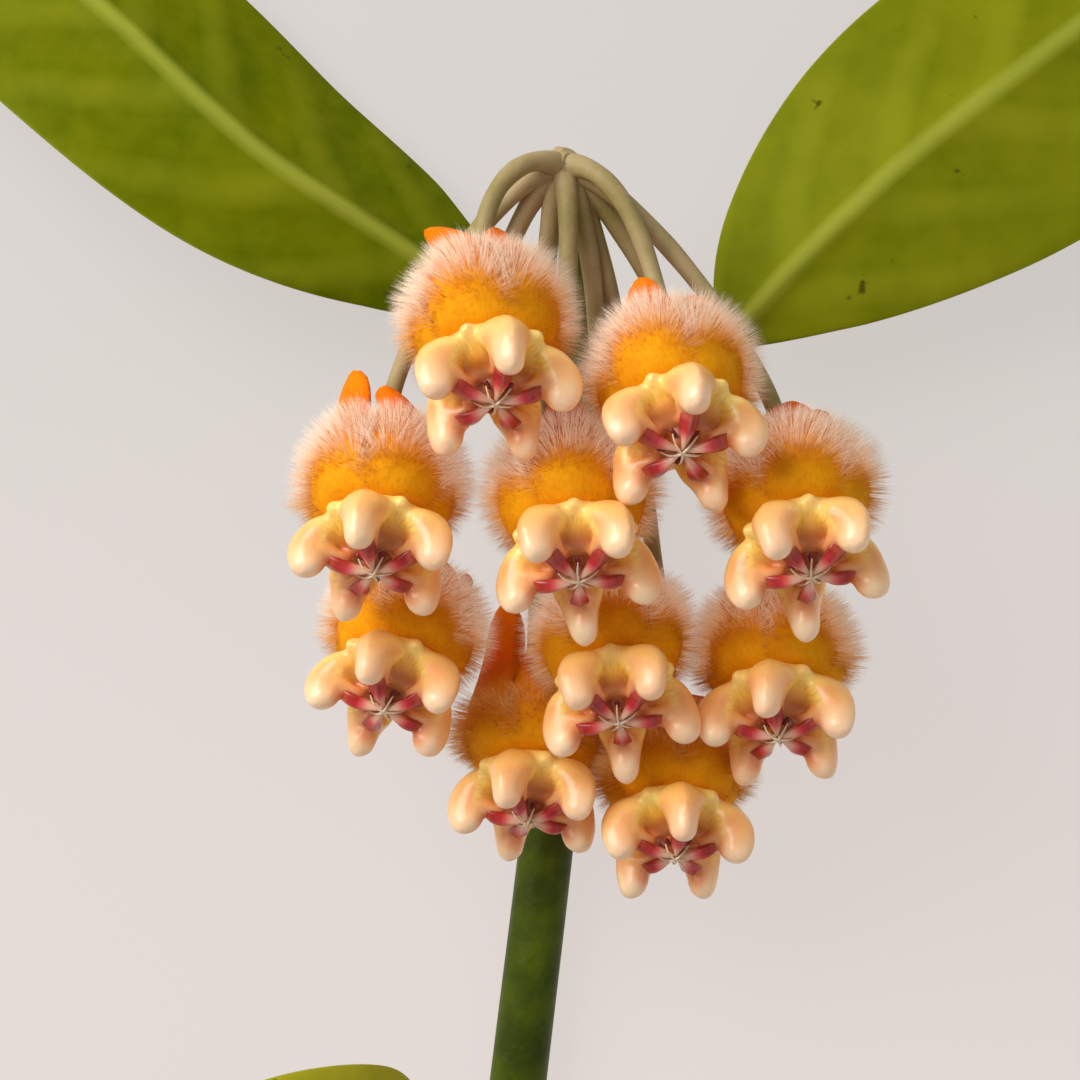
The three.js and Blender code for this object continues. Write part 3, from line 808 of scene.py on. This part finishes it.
crown_shell = remeshed(crown_parts(), voxel=0.33, smoothings=6)
print("one crown", len(crown_shell[0]), "points")

# %% The crowns
# How far a scale sways, in millimetres, beside, out and forwards, and over which heights, angles from
# its middle and reaches that grows; then the scales that stand out further than the others, by bloom
# and scale, in millimetres out and forwards.
SWAY = {"by": [0.16, 0.16, 0.14], "heights": (-4.5, 2.5), "angles": (0.62, 0.2), "reaches": (2.5, 4.5)}
ODD_SCALES = {4: {2: (0.7, 0.6)}, 5: {2: (0.4, 0.4)}, 7: {2: (0.6, 0.5)}}


def bent(points, rng, number):
    """Each scale sways sideways and in or out by a little, more towards its tip.

    The shift of a point is the sum of its scales' shifts, weighed by a bell over the angle between
    them, times an ease over the height.
    """
    angle = np.arctan2(points[:, 1], points[:, 0]) - np.pi / 2
    reach = np.hypot(points[:, 0], points[:, 1])
    rise = ease(points[:, 2], *SWAY["heights"])
    shift = np.zeros((len(points), 3))
    for i in range(5):
        off = (angle - i * FIFTH + np.pi) % (2 * np.pi) - np.pi
        near = ease(np.abs(off), *SWAY["angles"]) * ease(reach, *SWAY["reaches"]) * rise
        sway, out, lift = rng.normal(size=3) * SWAY["by"]
        odd_out, odd_lift = ODD_SCALES.get(number, {}).get(i, (0, 0))
        out, lift = out + odd_out, lift + odd_lift
        middle = np.pi / 2 + i * FIFTH
        away = np.array([np.cos(middle), np.sin(middle), 0])
        beside = np.array([-np.sin(middle), np.cos(middle), 0])
        shift += near[:, None] * (sway * beside + out * away + lift * np.array([0, 0, 1]))
    return points + shift


crowns = []
for number, bloom in enumerate(BLOOMS, 1):
    name = f"bloom_{number:02d}_crown"
    local = bent(crown_shell[0], np.random.default_rng(100 + number), number)
    shell = (stood(bloom, local), *crown_shell[1:])
    crowns.append(new_piece(name + "_skin", [shell], [name], {"bloom_place": local}))
print("crowns", triangles_in(crowns), "triangles")

# %% [markdown]
# In the middle of the crown sits the heart: a short column, five horns that spread out from its star
# towards the scales, five thin pale ridges between them, and at each ridge's end the dark clasp of a
# pollen sac. The horns are roofs with a ridge, narrow and pale at the star, wide and magenta outside.

# %% The hearts
HORN = {
    "reach": [0.2, 1.1, 2.1, 3.1, 4.2, 5.2],
    "height": [0.0, 0.1, 0.12, 0.0, -0.35, -1.0],
    "half_width": [0.16, 0.3, 0.56, 0.88, 1.0, 0.75],
    "roof": [0.14, 0.34, 0.52, 0.66, 0.62, 0.3],
    "depth": [0.5, 0.75, 0.9, 0.9, 0.85, 0.6],
}
RIDGE = {
    "reach": [0.05, 0.7, 1.5, 2.15],
    "height": [0.36, 0.34, 0.05, -0.5],
    "radius": [0.17, 0.13, 0.11, 0.07],
}
COLUMN = {"reach": [0, 2.2, 1.7, 1.2, 0.8, 0], "height": [-2.6, -2.6, -1.8, -1.1, -0.3, -0.1]}
CLASP = {"reach": 1.85, "height": -0.95, "radii": (0.66, 0.3, 0.34)}


def horn_shell(stations=20):
    """A roof over a keel: each ring has a ridge, two eaves and an underside, all straight lines."""
    t = np.linspace(0, 1, stations)
    reach, height, wide, roof, deep = (
        smooth_values(HORN[key], t) for key in ("reach", "height", "half_width", "roof", "depth")
    )
    corners = [(0, 1, 0), (0.35, 0.55, 0), (0.8, 0.12, 0), (1, -0.1, 0), (0.8, 0, -0.6), (0.3, 0, -1)]
    corners += [(-x, up, down) for x, up, down in corners[:0:-1]]
    ring = []
    for x, up, down in corners:
        rounded_off = 0.25 * (1 - abs(x)) * t**6
        corner = [reach - rounded_off, x * wide, height + up * roof + down * deep]
        ring.append(np.stack(corner, axis=1))
    return loft(np.stack(ring, axis=1))


def ridge_shell(stations=14):
    t = np.linspace(0, 1, stations)
    line = about_axis(smooth_values(RIDGE["reach"], t), 0.0, smooth_values(RIDGE["height"], t))
    line[:, 1] += 0.12 * np.sin(np.pi * t)
    return loft(tube(line, smooth_values(RIDGE["radius"], t), 7, (0, 1, 0)))


def ball_rings(rows, around):
    """Rings over a unit ball, from pole to pole: (sin p cos a, sin p sin a, cos p)."""
    polar = np.linspace(0.1, np.pi - 0.1, rows)[:, None]
    angle = circle(around)
    return about_axis(np.sin(polar), angle, np.cos(polar))


def clasp_shell():
    """An ellipsoid beside the column."""
    return loft(ball_rings(8, 10) * CLASP["radii"] + [CLASP["reach"], 0, CLASP["height"]])


def five_of(shell, offset):
    """The shell five times about the axis, the first one turned by offset."""
    points, quads, tris = shell
    return joined([(spun(points, offset + i * FIFTH), quads, tris) for i in range(5)])


HEART_SHELLS = [
    five_of(horn_shell(), np.pi / 2),
    five_of(ridge_shell(), np.pi / 2 + FIFTH / 2),
    five_of(clasp_shell(), np.pi / 2 + FIFTH / 2),
    loft(turned(COLUMN, 30)),
]
hearts = []
for number, bloom in enumerate(BLOOMS, 1):
    name = f"bloom_{number:02d}_heart"
    shells = [(stood(bloom, points), quads, tris) for points, quads, tris in HEART_SHELLS]
    local = np.vstack([points for points, _, _ in HEART_SHELLS])
    hearts.append(new_piece(name + "_skin", shells, [name], {"bloom_place": local}))
print("hearts", triangles_in(hearts), "triangles")

# %% [markdown]
# Materials are built from nodes in code. A few helpers keep each recipe short enough to read: one
# adds a node and feeds its inputs, one blends two colours, one spreads a value over a span, and one
# runs a value through a row of tints.

# %% Node helpers
def tint(red, green, blue):
    """A colour as a screen shows it, 0 to 255, made linear for a shader."""
    c = np.array([red, green, blue]) / 255
    return (*np.where(c <= 0.04045, c / 12.92, ((c + 0.055) / 1.055) ** 2.4), 1.0)


def add(tree, kind, inputs=None, **settings):
    made = tree.nodes.new("ShaderNode" + kind)
    for key, value in settings.items():
        setattr(made, key, value)
    for key, value in (inputs or {}).items():
        if isinstance(value, bpy.types.NodeSocket):
            tree.links.new(value, made.inputs[key])
        else:
            made.inputs[key].default_value = value
    return made


def maths(tree, operation, *values):
    return add(tree, "Math", dict(enumerate(values)), operation=operation).outputs[0]


def times(tree, first, second):
    return maths(tree, "MULTIPLY", first, second)


def span(tree, value, low, high):
    """0 at low, 1 at high, eased between them."""
    inputs = {"Value": value, "From Min": low, "From Max": high}
    return add(tree, "MapRange", inputs, interpolation_type="SMOOTHSTEP").outputs[0]


def blend(tree, share, first, second, kind="MIX"):
    made = add(tree, "Mix", data_type="RGBA", blend_type=kind)
    for number, value in {0: share, 6: first, 7: second}.items():
        socket = made.inputs[number]
        if isinstance(value, bpy.types.NodeSocket):
            tree.links.new(value, socket)
        else:
            socket.default_value = value
    return made.outputs[2]


def glazed(tree, under, mask, share, shade):
    """A shade laid over a colour, as strongly as the mask times the share."""
    return blend(tree, times(tree, mask, share), under, shade)


def noise(tree, vector, scale):
    return add(tree, "TexNoise", {"Vector": vector, "Scale": scale}).outputs["Fac"]


def ramp(tree, value, low, high):
    """0 at low, 1 at high, straight between them."""
    inputs = {"Value": value, "From Min": low, "From Max": high}
    return add(tree, "MapRange", inputs).outputs[0]


def tints(tree, value, stops):
    """Runs a value of 0 to 1 through a row of tints, each at its place."""
    made = add(tree, "ValToRGB", {"Fac": value})
    row = made.color_ramp.elements
    while len(row) < len(stops):
        row.new(0.5)
    for element, (place, shade) in zip(row, stops):
        element.position = place
        element.color = shade
    return made.outputs[0]


def attribute(tree, name, output="Fac"):
    return add(tree, "Attribute", attribute_name=name).outputs[output]


def new_finish(name, **values):
    """A material with one Principled BSDF, its constant values set straight on its sockets."""
    made = bpy.data.materials.new(name)
    made.use_nodes = True
    tree = made.node_tree
    shader = tree.nodes["Principled BSDF"]
    for key, value in values.items():
        shader.inputs[key.replace("_", " ").title().replace("Ior", "IOR")].default_value = value
    return made, tree, shader


def coloured(tree, shader, colour):
    tree.links.new(colour, shader.inputs["Base Color"])


def glowing(tree, shader, colour, strength):
    """Lets a surface give off light of its own."""
    tree.links.new(colour, shader.inputs["Emission Color"])
    shader.inputs["Emission Strength"].default_value = strength


def bumped(tree, shader, height, distance, strength=1.0):
    bump = add(tree, "Bump", {"Height": height, "Distance": distance, "Strength": strength})
    tree.links.new(bump.outputs[0], shader.inputs["Normal"])


# %% [markdown]
# Three effects are shared, so each is a node group that is built once. The first mottles a surface
# with soft patches. The second tells a material where in its bloom a point lies: how far from the
# axis, how high, and how far beside the nearest scale's middle. The third draws a leaf's veins.

# %% Shared node groups
def new_group(name, inputs, outputs):
    """An empty group with named float inputs, given with their first values, and float outputs."""
    group = bpy.data.node_groups.new(name, "ShaderNodeTree")
    plain = "NodeSocketFloat"
    for key, value in inputs.items():
        group.interface.new_socket(key, in_out="INPUT", socket_type=plain).default_value = value
    for key in outputs:
        group.interface.new_socket(key, in_out="OUTPUT", socket_type=plain)
    start = group.nodes.new("NodeGroupInput")
    end = group.nodes.new("NodeGroupOutput")
    return group, start.outputs, end.inputs


def mottle_group():
    """Soft patches: noise on Object coordinates, stretched so that it runs from 0 to 1."""
    group, given, out = new_group("Mottle", {"Scale": 500.0, "Low": 0.35, "High": 0.65}, ["Amount"])
    place = add(group, "TexCoord").outputs["Object"]
    grain = add(group, "TexNoise", {"Vector": place, "Scale": given["Scale"], "Detail": 4.0})
    stretched = ramp(group, grain.outputs["Fac"], given["Low"], given["High"])
    group.links.new(stretched, out["Amount"])
    return group


def bloom_place_group():
    """Reach = |xy|, height = z, and beside = reach * sin of the angle to the nearest scale.

    The share of a fifth is angle / fifth + 10.5 without its whole part: 10 keeps it positive, and
    the half puts a scale's middle in the middle of it.
    """
    group, _, out = new_group("Bloom place", {}, ["Reach", "Height", "Beside", "Angle"])
    place = add(group, "SeparateXYZ", {0: attribute(group, "bloom_place", "Vector")}).outputs
    squares = [times(group, place[k], place[k]) for k in range(2)]
    reach = maths(group, "SQRT", maths(group, "ADD", *squares))
    angle = maths(group, "SUBTRACT", maths(group, "ARCTAN2", place[1], place[0]), np.pi / 2)
    share = maths(group, "FRACT", maths(group, "ADD", maths(group, "DIVIDE", angle, FIFTH), 10.5))
    signed = times(group, maths(group, "SUBTRACT", share, 0.5), FIFTH)
    off = maths(group, "ABSOLUTE", signed)
    for key, value in {
        "Reach": reach, "Height": place[2], "Angle": angle,
        "Beside": times(group, reach, maths(group, "SINE", off)),
    }.items():
        group.links.new(value, out[key])
    return group


def veins_group():
    """The midrib and the side veins of a leaf, from millimetres beside the rib and along it.

    A side vein lies where (along - beside - 0.02 beside^2) / spacing is half past a whole number.
    The 200 mm that are added first keep it positive.
    Between two veins the blade swells and sinks by the sine of that share's full turns.
    """
    inputs = {"Spacing": 15.0, "Width": 0.5, "Rib": 1.1}
    group, given, out = new_group("Leaf veins", inputs, ["Rib", "Veins", "Swell"])
    place = add(group, "SeparateXYZ", {0: attribute(group, "on_leaf", "Vector")}).outputs
    beside = maths(group, "ABSOLUTE", place[0])
    wander = times(group, noise(group, add(group, "TexCoord").outputs["Object"], 60.0), 5.0)
    bend = maths(group, "ADD", times(group, beside, 0.02), 1.0)
    climb = times(group, beside, bend)
    on_side = times(group, maths(group, "GREATER_THAN", place[0], 0.0), 4.5)
    shift = maths(group, "ADD", wander, on_side)
    way = maths(group, "ADD", maths(group, "SUBTRACT", place[1], climb), shift)
    turns = maths(group, "DIVIDE", maths(group, "ADD", way, 200.0), given["Spacing"])
    share = maths(group, "FRACT", turns)
    off = maths(group, "ABSOLUTE", maths(group, "SUBTRACT", share, 0.5))
    side = ramp(group, times(group, off, given["Spacing"]), given["Width"], 0.1)
    faded = times(group, side, span(group, beside, 15.0, 4.0))
    rib = ramp(group, beside, given["Rib"], 0.3)
    wave = maths(group, "SINE", times(group, share, 2 * np.pi))
    swell = times(group, wave, span(group, beside, 20.0, 6.0))
    group.links.new(rib, out["Rib"])
    group.links.new(faded, out["Veins"])
    group.links.new(swell, out["Swell"])
    return group


MOTTLE, BLOOM_PLACE, VEINS = mottle_group(), bloom_place_group(), veins_group()


def grouped(tree, group, **inputs):
    made = tree.nodes.new("ShaderNodeGroup")
    made.node_tree = group
    for key, value in inputs.items():
        made.inputs[key].default_value = value
    return made.outputs


def mottled(tree, scale, low=0.35, high=0.65):
    return grouped(tree, MOTTLE, Scale=scale, Low=low, High=high)["Amount"]


print("groups", [g.name for g in (MOTTLE, BLOOM_PLACE, VEINS)])

# %% [markdown]
# The hairs are glassy and white, but light reaches their feet only after it has bounced off the
# orange petals. That is why they are orange below and cream at their tips, and so is the row of
# tints that runs along each one. A faint glow of their own colour stands for the light that shines
# through them.

# %% Hair and petal finishes
def hair_finish():
    made, tree, shader = new_finish("pale hair", roughness=0.6, specular_ior_level=0.2)
    along = tints(tree, attribute(tree, "along"), [
        (0.0, tint(214, 130, 36)), (0.14, tint(222, 160, 92)), (0.32, tint(216, 176, 142)),
        (1.0, tint(230, 212, 194)),
    ])
    shaded = blend(tree, attribute(tree, "paleness"), tint(244, 164, 26), along)
    darker = times(tree, attribute(tree, "tone"), 0.5)
    shaded = blend(tree, darker, shaded, tint(190, 140, 96), "MULTIPLY")
    shaded = glazed(tree, shaded, attribute(tree, "darkness"), 0.8, tint(150, 84, 28))
    coloured(tree, shader, shaded)
    glowing(tree, shader, blend(tree, attribute(tree, "paleness"), tint(0, 0, 0), shaded), 0.45)
    return made


def petal_finish():
    made, tree, shader = new_finish("velvet petal", roughness=0.75, specular_ior_level=0.08)
    place = grouped(tree, BLOOM_PLACE)
    # Partly the petals' own orange, partly painted shade: the flanks behind the face are painted
    # darker than the face and the tips.
    height = tints(tree, span(tree, place["Height"], -22.0, -7.0), [
        (0.0, tint(248, 130, 0)), (0.22, tint(232, 98, 0)), (0.4, tint(210, 102, 0)),
        (0.7, tint(226, 140, 2)), (1.0, tint(238, 164, 16)),
    ])
    patches = glazed(tree, height, mottled(tree, 420.0), 0.3, tint(202, 98, 0))
    strand_place = add(tree, "CombineXYZ", {
        0: times(tree, place["Angle"], 26.0), 1: times(tree, place["Height"], 2.0),
    }).outputs[0]
    strands = span(tree, noise(tree, strand_place, 1.0), 0.48, 0.7)
    patches = glazed(tree, patches, strands, 0.2, tint(178, 88, 0))
    # Along the seams between petals, low on the flanks, a deeper orange is painted shade in the
    # grooves.
    low = span(tree, place["Height"], -8.0, -10.5)
    seam = times(tree, span(tree, place["Beside"], 0.9, 0.0), low)
    patches = glazed(tree, patches, seam, 0.55, tint(170, 78, 0))
    coloured(tree, shader, patches)
    bumped(tree, shader, mottled(tree, 1800.0), 0.0001, 0.4)
    return made


hair, petal = hair_finish(), petal_finish()
for piece in furs:
    piece.data.materials.append(hair)
for piece in corollas:
    piece.data.materials.append(petal)

# %% [markdown]
# Crown and heart are wax with water in it: light sinks in, spreads and comes out warmer, which
# subsurface scattering does, and a thin clear coat gives the small soft highlights. The crown is
# cream at its fingertips and honey coloured at their feet, olive and streaked on the cone, and it
# blushes where the horns touch it. Part of this is painted shade: the cone darkens towards the
# heart, the scales' inner and lower sides are glazed darker, and the red under the horns' ends is
# partly shade. A faint glow of the crown's own colour is painted light on its shaded sides.

# %% Crown and heart finishes
def wax(name, **values):
    settings = {"roughness": 0.38, "coat_weight": 0.3, "subsurface_weight": 0.4}
    settings["subsurface_scale"] = 0.0012
    made, tree, shader = new_finish(name, **{**settings, **values})
    shader.inputs["Subsurface Radius"].default_value = (1.0, 0.45, 0.2)
    shader.inputs["Coat Roughness"].default_value = 0.18
    return made, tree, shader


def crown_finish():
    made, tree, shader = wax("crown wax")
    place = grouped(tree, BLOOM_PLACE)
    height, reach, beside = place["Height"], place["Reach"], place["Beside"]
    body = tints(tree, span(tree, height, -5.8, 2.2), [
        (0.0, tint(246, 192, 88)), (0.3, tint(248, 192, 106)), (0.55, tint(248, 190, 122)),
        (0.8, tint(250, 204, 150)), (1.0, tint(252, 216, 178)),
    ])
    # The scales' inner sides towards the heart are glazed deeper orange: partly their own tone, partly
    # painted shade.
    inner = times(tree, span(tree, reach, 6.2, 5.0), span(tree, height, -3.0, -1.2))
    body = glazed(tree, body, inner, 0.6, tint(228, 142, 70))
    # Low on the scales' sides a peach glaze is partly their own tone, partly painted shade.
    flank_tone_and_shade = times(tree, span(tree, beside, 1.1, 2.4), span(tree, height, -3.6, -2.2))
    body = glazed(tree, body, flank_tone_and_shade, 0.6, tint(232, 148, 84))
    rim = times(tree, span(tree, beside, 1.5, 3.0), span(tree, height, -2.6, -3.8))
    body = glazed(tree, body, rim, 0.8, tint(252, 216, 122))
    streak_place = add(tree, "CombineXYZ", {
        0: times(tree, place["Angle"], 9.0), 1: times(tree, reach, 0.3),
    }).outputs[0]
    streaks = span(tree, noise(tree, streak_place, 3.0), 0.45, 0.7)
    # The cone darkens towards the heart: partly its own brown, partly painted shade in the hollow
    # inside the crown.
    cone = tints(tree, span(tree, reach, 2.2, 6.4), [
        (0.0, tint(150, 58, 8)), (0.22, tint(188, 104, 14)), (0.45, tint(218, 146, 26)),
        (0.7, tint(244, 190, 60)), (1.0, tint(254, 220, 118)),
    ])
    cone = glazed(tree, cone, streaks, 0.35, tint(176, 106, 10))
    between = times(tree, span(tree, beside, 1.3, 2.2), span(tree, reach, 6.8, 5.8))
    low_down = times(tree, span(tree, reach, 5.3, 4.4), span(tree, height, -1.2, -2.4))
    inside = maths(tree, "MAXIMUM", between, low_down)
    body = blend(tree, inside, body, cone)
    # Under the horns' ends the crown turns red: partly its own colour, partly painted shade beneath
    # the horns.
    blush_and_shade = times(tree, span(tree, reach, 5.7, 4.6), span(tree, beside, 1.2, 0.5))
    body = glazed(tree, body, blush_and_shade, 0.6, tint(208, 88, 44))
    body = glazed(tree, body, mottled(tree, 260.0), 0.3, tint(234, 158, 104))
    coloured(tree, shader, body)
    # A faint glow of the crown's own colour is painted light that lifts its shaded sides.
    glowing(tree, shader, body, 0.07)
    bumped(tree, shader, mottled(tree, 700.0), 0.00008, 0.5)
    return made


def horn_finish():
    made, tree, shader = wax("magenta horn", subsurface_weight=0.15)
    place = grouped(tree, BLOOM_PLACE)
    way = tints(tree, span(tree, place["Reach"], 0.3, 5.0), [
        (0.0, tint(246, 216, 186)), (0.26, tint(240, 176, 146)), (0.44, tint(228, 100, 96)),
        (0.62, tint(196, 22, 34)), (0.86, tint(164, 12, 12)), (1.0, tint(204, 84, 48)),
    ])
    # A pale pink line along each horn's ridge is a painted highlight.
    way = glazed(tree, way, span(tree, place["Beside"], 0.28, 0.0), 0.3, tint(240, 146, 128))
    way = glazed(tree, way, span(tree, place["Beside"], 0.55, 0.95), 0.6, tint(142, 16, 6))
    way = glazed(tree, way, mottled(tree, 900.0), 0.18, tint(228, 104, 88))
    # The horns' undersides are painted dark red: painted shade under them.
    under = span(tree, place["Height"], -0.6, -1.4)
    coloured(tree, shader, blend(tree, under, way, tint(140, 30, 14)))
    return made


def plain_wax(name, shade, dark):
    made, tree, shader = wax(name, subsurface_weight=0.15)
    coloured(tree, shader, blend(tree, mottled(tree, 1500.0), shade, dark))
    return made


crown_wax = crown_finish()
for piece in crowns:
    piece.data.materials.append(crown_wax)
heart_finishes = [
    horn_finish(),
    plain_wax("cream ridge", tint(246, 222, 190), tint(230, 190, 150)),
    plain_wax("dark clasp", tint(132, 40, 22), tint(92, 26, 14)),
    plain_wax("brown column", tint(186, 96, 26), tint(150, 62, 16)),
]
for piece in hearts:
    for finish in heart_finishes:
        piece.data.materials.append(finish)

# %% [markdown]
# Stalks and leaves are satin green. The stem darkens in patches and carries short pale streaks, the
# flower stalks are a dusty olive tan, and the leaves show a pale rib, faint veins, a lighter margin
# and the few dark specks that an old hoya leaf always has. The darker veins are painted shade in
# their hollows, the lighter swells between them are painted light, and the upper right leaf has a
# lighter copy of the leaf finish, which is painted light.

# %% Stalk and leaf finishes
def stem_finish():
    made, tree, shader = new_finish("green stem", roughness=0.5, specular_ior_level=0.15)
    skin = blend(tree, mottled(tree, 180.0), tint(76, 90, 0), tint(50, 62, 0))
    skin = glazed(tree, skin, mottled(tree, 1400.0, 0.6, 0.75), 0.1, tint(120, 126, 52))
    wood = blend(tree, mottled(tree, 900.0), tint(188, 190, 128), tint(140, 150, 84))
    coloured(tree, shader, blend(tree, attribute(tree, "on_cut"), skin, wood))
    bumped(tree, shader, mottled(tree, 900.0), 0.0001, 0.5)
    return made


def stalk_finish(name, shade, dark, fleck):
    made, tree, shader = new_finish(name, roughness=0.55, specular_ior_level=0.3)
    skin = blend(tree, mottled(tree, 140.0), shade, dark)
    skin = glazed(tree, skin, mottled(tree, 1900.0, 0.58, 0.7), 0.15, fleck)
    coloured(tree, shader, skin)
    bumped(tree, shader, mottled(tree, 1200.0), 0.0001, 0.3)
    return made


def leaf_finish(name, shade, dark):
    made, tree, shader = new_finish(name, roughness=0.5, specular_ior_level=0.02)
    lines = grouped(tree, VEINS, Spacing=15.0, Width=2.0, Rib=1.5)
    top = blend(tree, mottled(tree, 70.0), shade, dark)
    top = glazed(tree, top, mottled(tree, 320.0), 0.2, tint(136, 138, 22))
    below = blend(tree, mottled(tree, 90.0), tint(136, 144, 50), tint(118, 128, 36))
    skin = blend(tree, attribute(tree, "upper_face"), below, top)
    # Where the blade swells between veins it is painted lighter: painted light on the bulges, besides
    # the bump.
    skin = glazed(tree, skin, lines["Swell"], 0.26, tint(146, 148, 30))
    # Along the side veins a darker green is painted shade in their hollows.
    skin = glazed(tree, skin, lines["Veins"], 0.12, tint(80, 96, 0))
    skin = glazed(tree, skin, lines["Rib"], 0.7, tint(158, 162, 58))
    edge = span(tree, attribute(tree, "to_margin"), 0.98, 1.0)
    skin = glazed(tree, skin, edge, 0.3, tint(146, 150, 50))
    skin = glazed(tree, skin, mottled(tree, 300.0, 0.70, 0.76), 0.85, tint(66, 56, 10))
    coloured(tree, shader, skin)
    relief = maths(tree, "ADD", lines["Swell"], times(tree, mottled(tree, 500.0), 0.1))
    bumped(tree, shader, relief, 0.0003, 0.35)
    return made


leafy = leaf_finish("waxy leaf", tint(102, 108, 0), tint(80, 94, 0))
# The upper right leaf gets a lighter copy of the leaf finish: painted light where the near lamp lights
# it less.
lighter = leaf_finish("lighter leaf", tint(124, 127, 14), tint(104, 111, 6))
young = leaf_finish("young leaf", tint(186, 178, 46), tint(160, 158, 30))
LEAF_FINISHES = {"leaf_upper_right_skin": lighter, "leaf_lower_left_skin": young}
stem.data.materials.append(stem_finish())
peduncle.data.materials.append(
    stalk_finish("green stalk", tint(126, 122, 52), tint(92, 94, 22), tint(150, 144, 84))
)
pedicels.data.materials.append(
    stalk_finish("tan stalk", tint(178, 154, 112), tint(140, 126, 70), tint(198, 176, 138))
)
for piece in leaves:
    piece.data.materials.append(LEAF_FINISHES.get(piece.name, leafy))
print("finishes", len(bpy.data.materials))

# %% [markdown]
# The shoot lies on a plain pale floor under a soft light from the upper left and a weaker one from the
# right. The first stands near, so that it falls off over the bunch. The camera looks straight down,
# from so near that the leaves run out of the picture.

# %% Floor, lights and camera
def new_floor(size=4.0, drop=0.0002):
    mesh = bpy.data.meshes.new("floor")
    corners = [(x * size / 2, y * size / 2, -drop) for x, y in ((-1, -1), (1, -1), (1, 1), (-1, 1))]
    mesh.from_pydata(corners, [], [(0, 1, 2, 3)])
    floor = new_object("floor", mesh)
    made, tree, shader = new_finish("pale floor", roughness=0.9, specular_ior_level=0.2)
    tone = blend(tree, mottled(tree, 3.0), tint(94, 91, 89), tint(90, 88, 86))
    coloured(tree, shader, tone)
    place = add(tree, "SeparateXYZ", {0: add(tree, "TexCoord").outputs["Object"]}).outputs
    glow = blend(tree, span(tree, place[1], 0.08, -0.075), tint(198, 194, 190), tint(216, 206, 202))
    glowing(tree, shader, glow, 1.0)
    mesh.materials.append(made)
    return floor


def new_light(name, place, aim, size, power):
    """A square soft light of so many watts, turned towards a point."""
    lamp = bpy.data.lights.new(name, "AREA")
    lamp.size = size
    lamp.energy = power
    light = new_object(name, lamp)
    eye = np.array(place, float)
    away = unit(eye - np.array(aim, float))
    side = unit(np.cross(UP if abs(away[2]) < 0.99 else (0, 1, 0), away))
    over = np.cross(away, side)
    turn = np.eye(4)
    turn[:3, 0], turn[:3, 1], turn[:3, 2], turn[:3, 3] = side, over, away, eye
    light.matrix_world = Matrix(turn.tolist())
    light.visible_camera = False
    return light


CAMERA_HEIGHT = 273.0
FOCAL_SHARE = 2300 / 1080

# Each light's place from the bunch's middle and its size, in metres, and its power in watts.
LIGHTS = {
    "key": ([-0.28, 0.225, 0.27], 0.34, 2.5),
    "fill": ([1.0, -0.2, 1.4], 1.6, 3.0),
}
AIR_LIGHT = 0.31
scene = bpy.context.scene
floor = new_floor()
middle = placed([0, 0, 30])
for name, (from_middle, size, power) in LIGHTS.items():
    new_light(name, middle + from_middle, middle, size, power)
world = bpy.data.worlds.new("studio")
world.use_nodes = True
world.node_tree.nodes["Background"].inputs[0].default_value = (1.0, 0.99, 0.98, 1.0)
world.node_tree.nodes["Background"].inputs[1].default_value = AIR_LIGHT
scene.world = world
lens = bpy.data.cameras.new("camera")
lens.sensor_width = 36.0
lens.lens = 36.0 * FOCAL_SHARE
camera = new_object("camera", lens)
camera.location = placed([0, 0, CAMERA_HEIGHT])
scene.camera = camera
scene.view_settings.view_transform = "Standard"
print("camera at", [round(x, 4) for x in camera.location], "lens", round(lens.lens, 2))
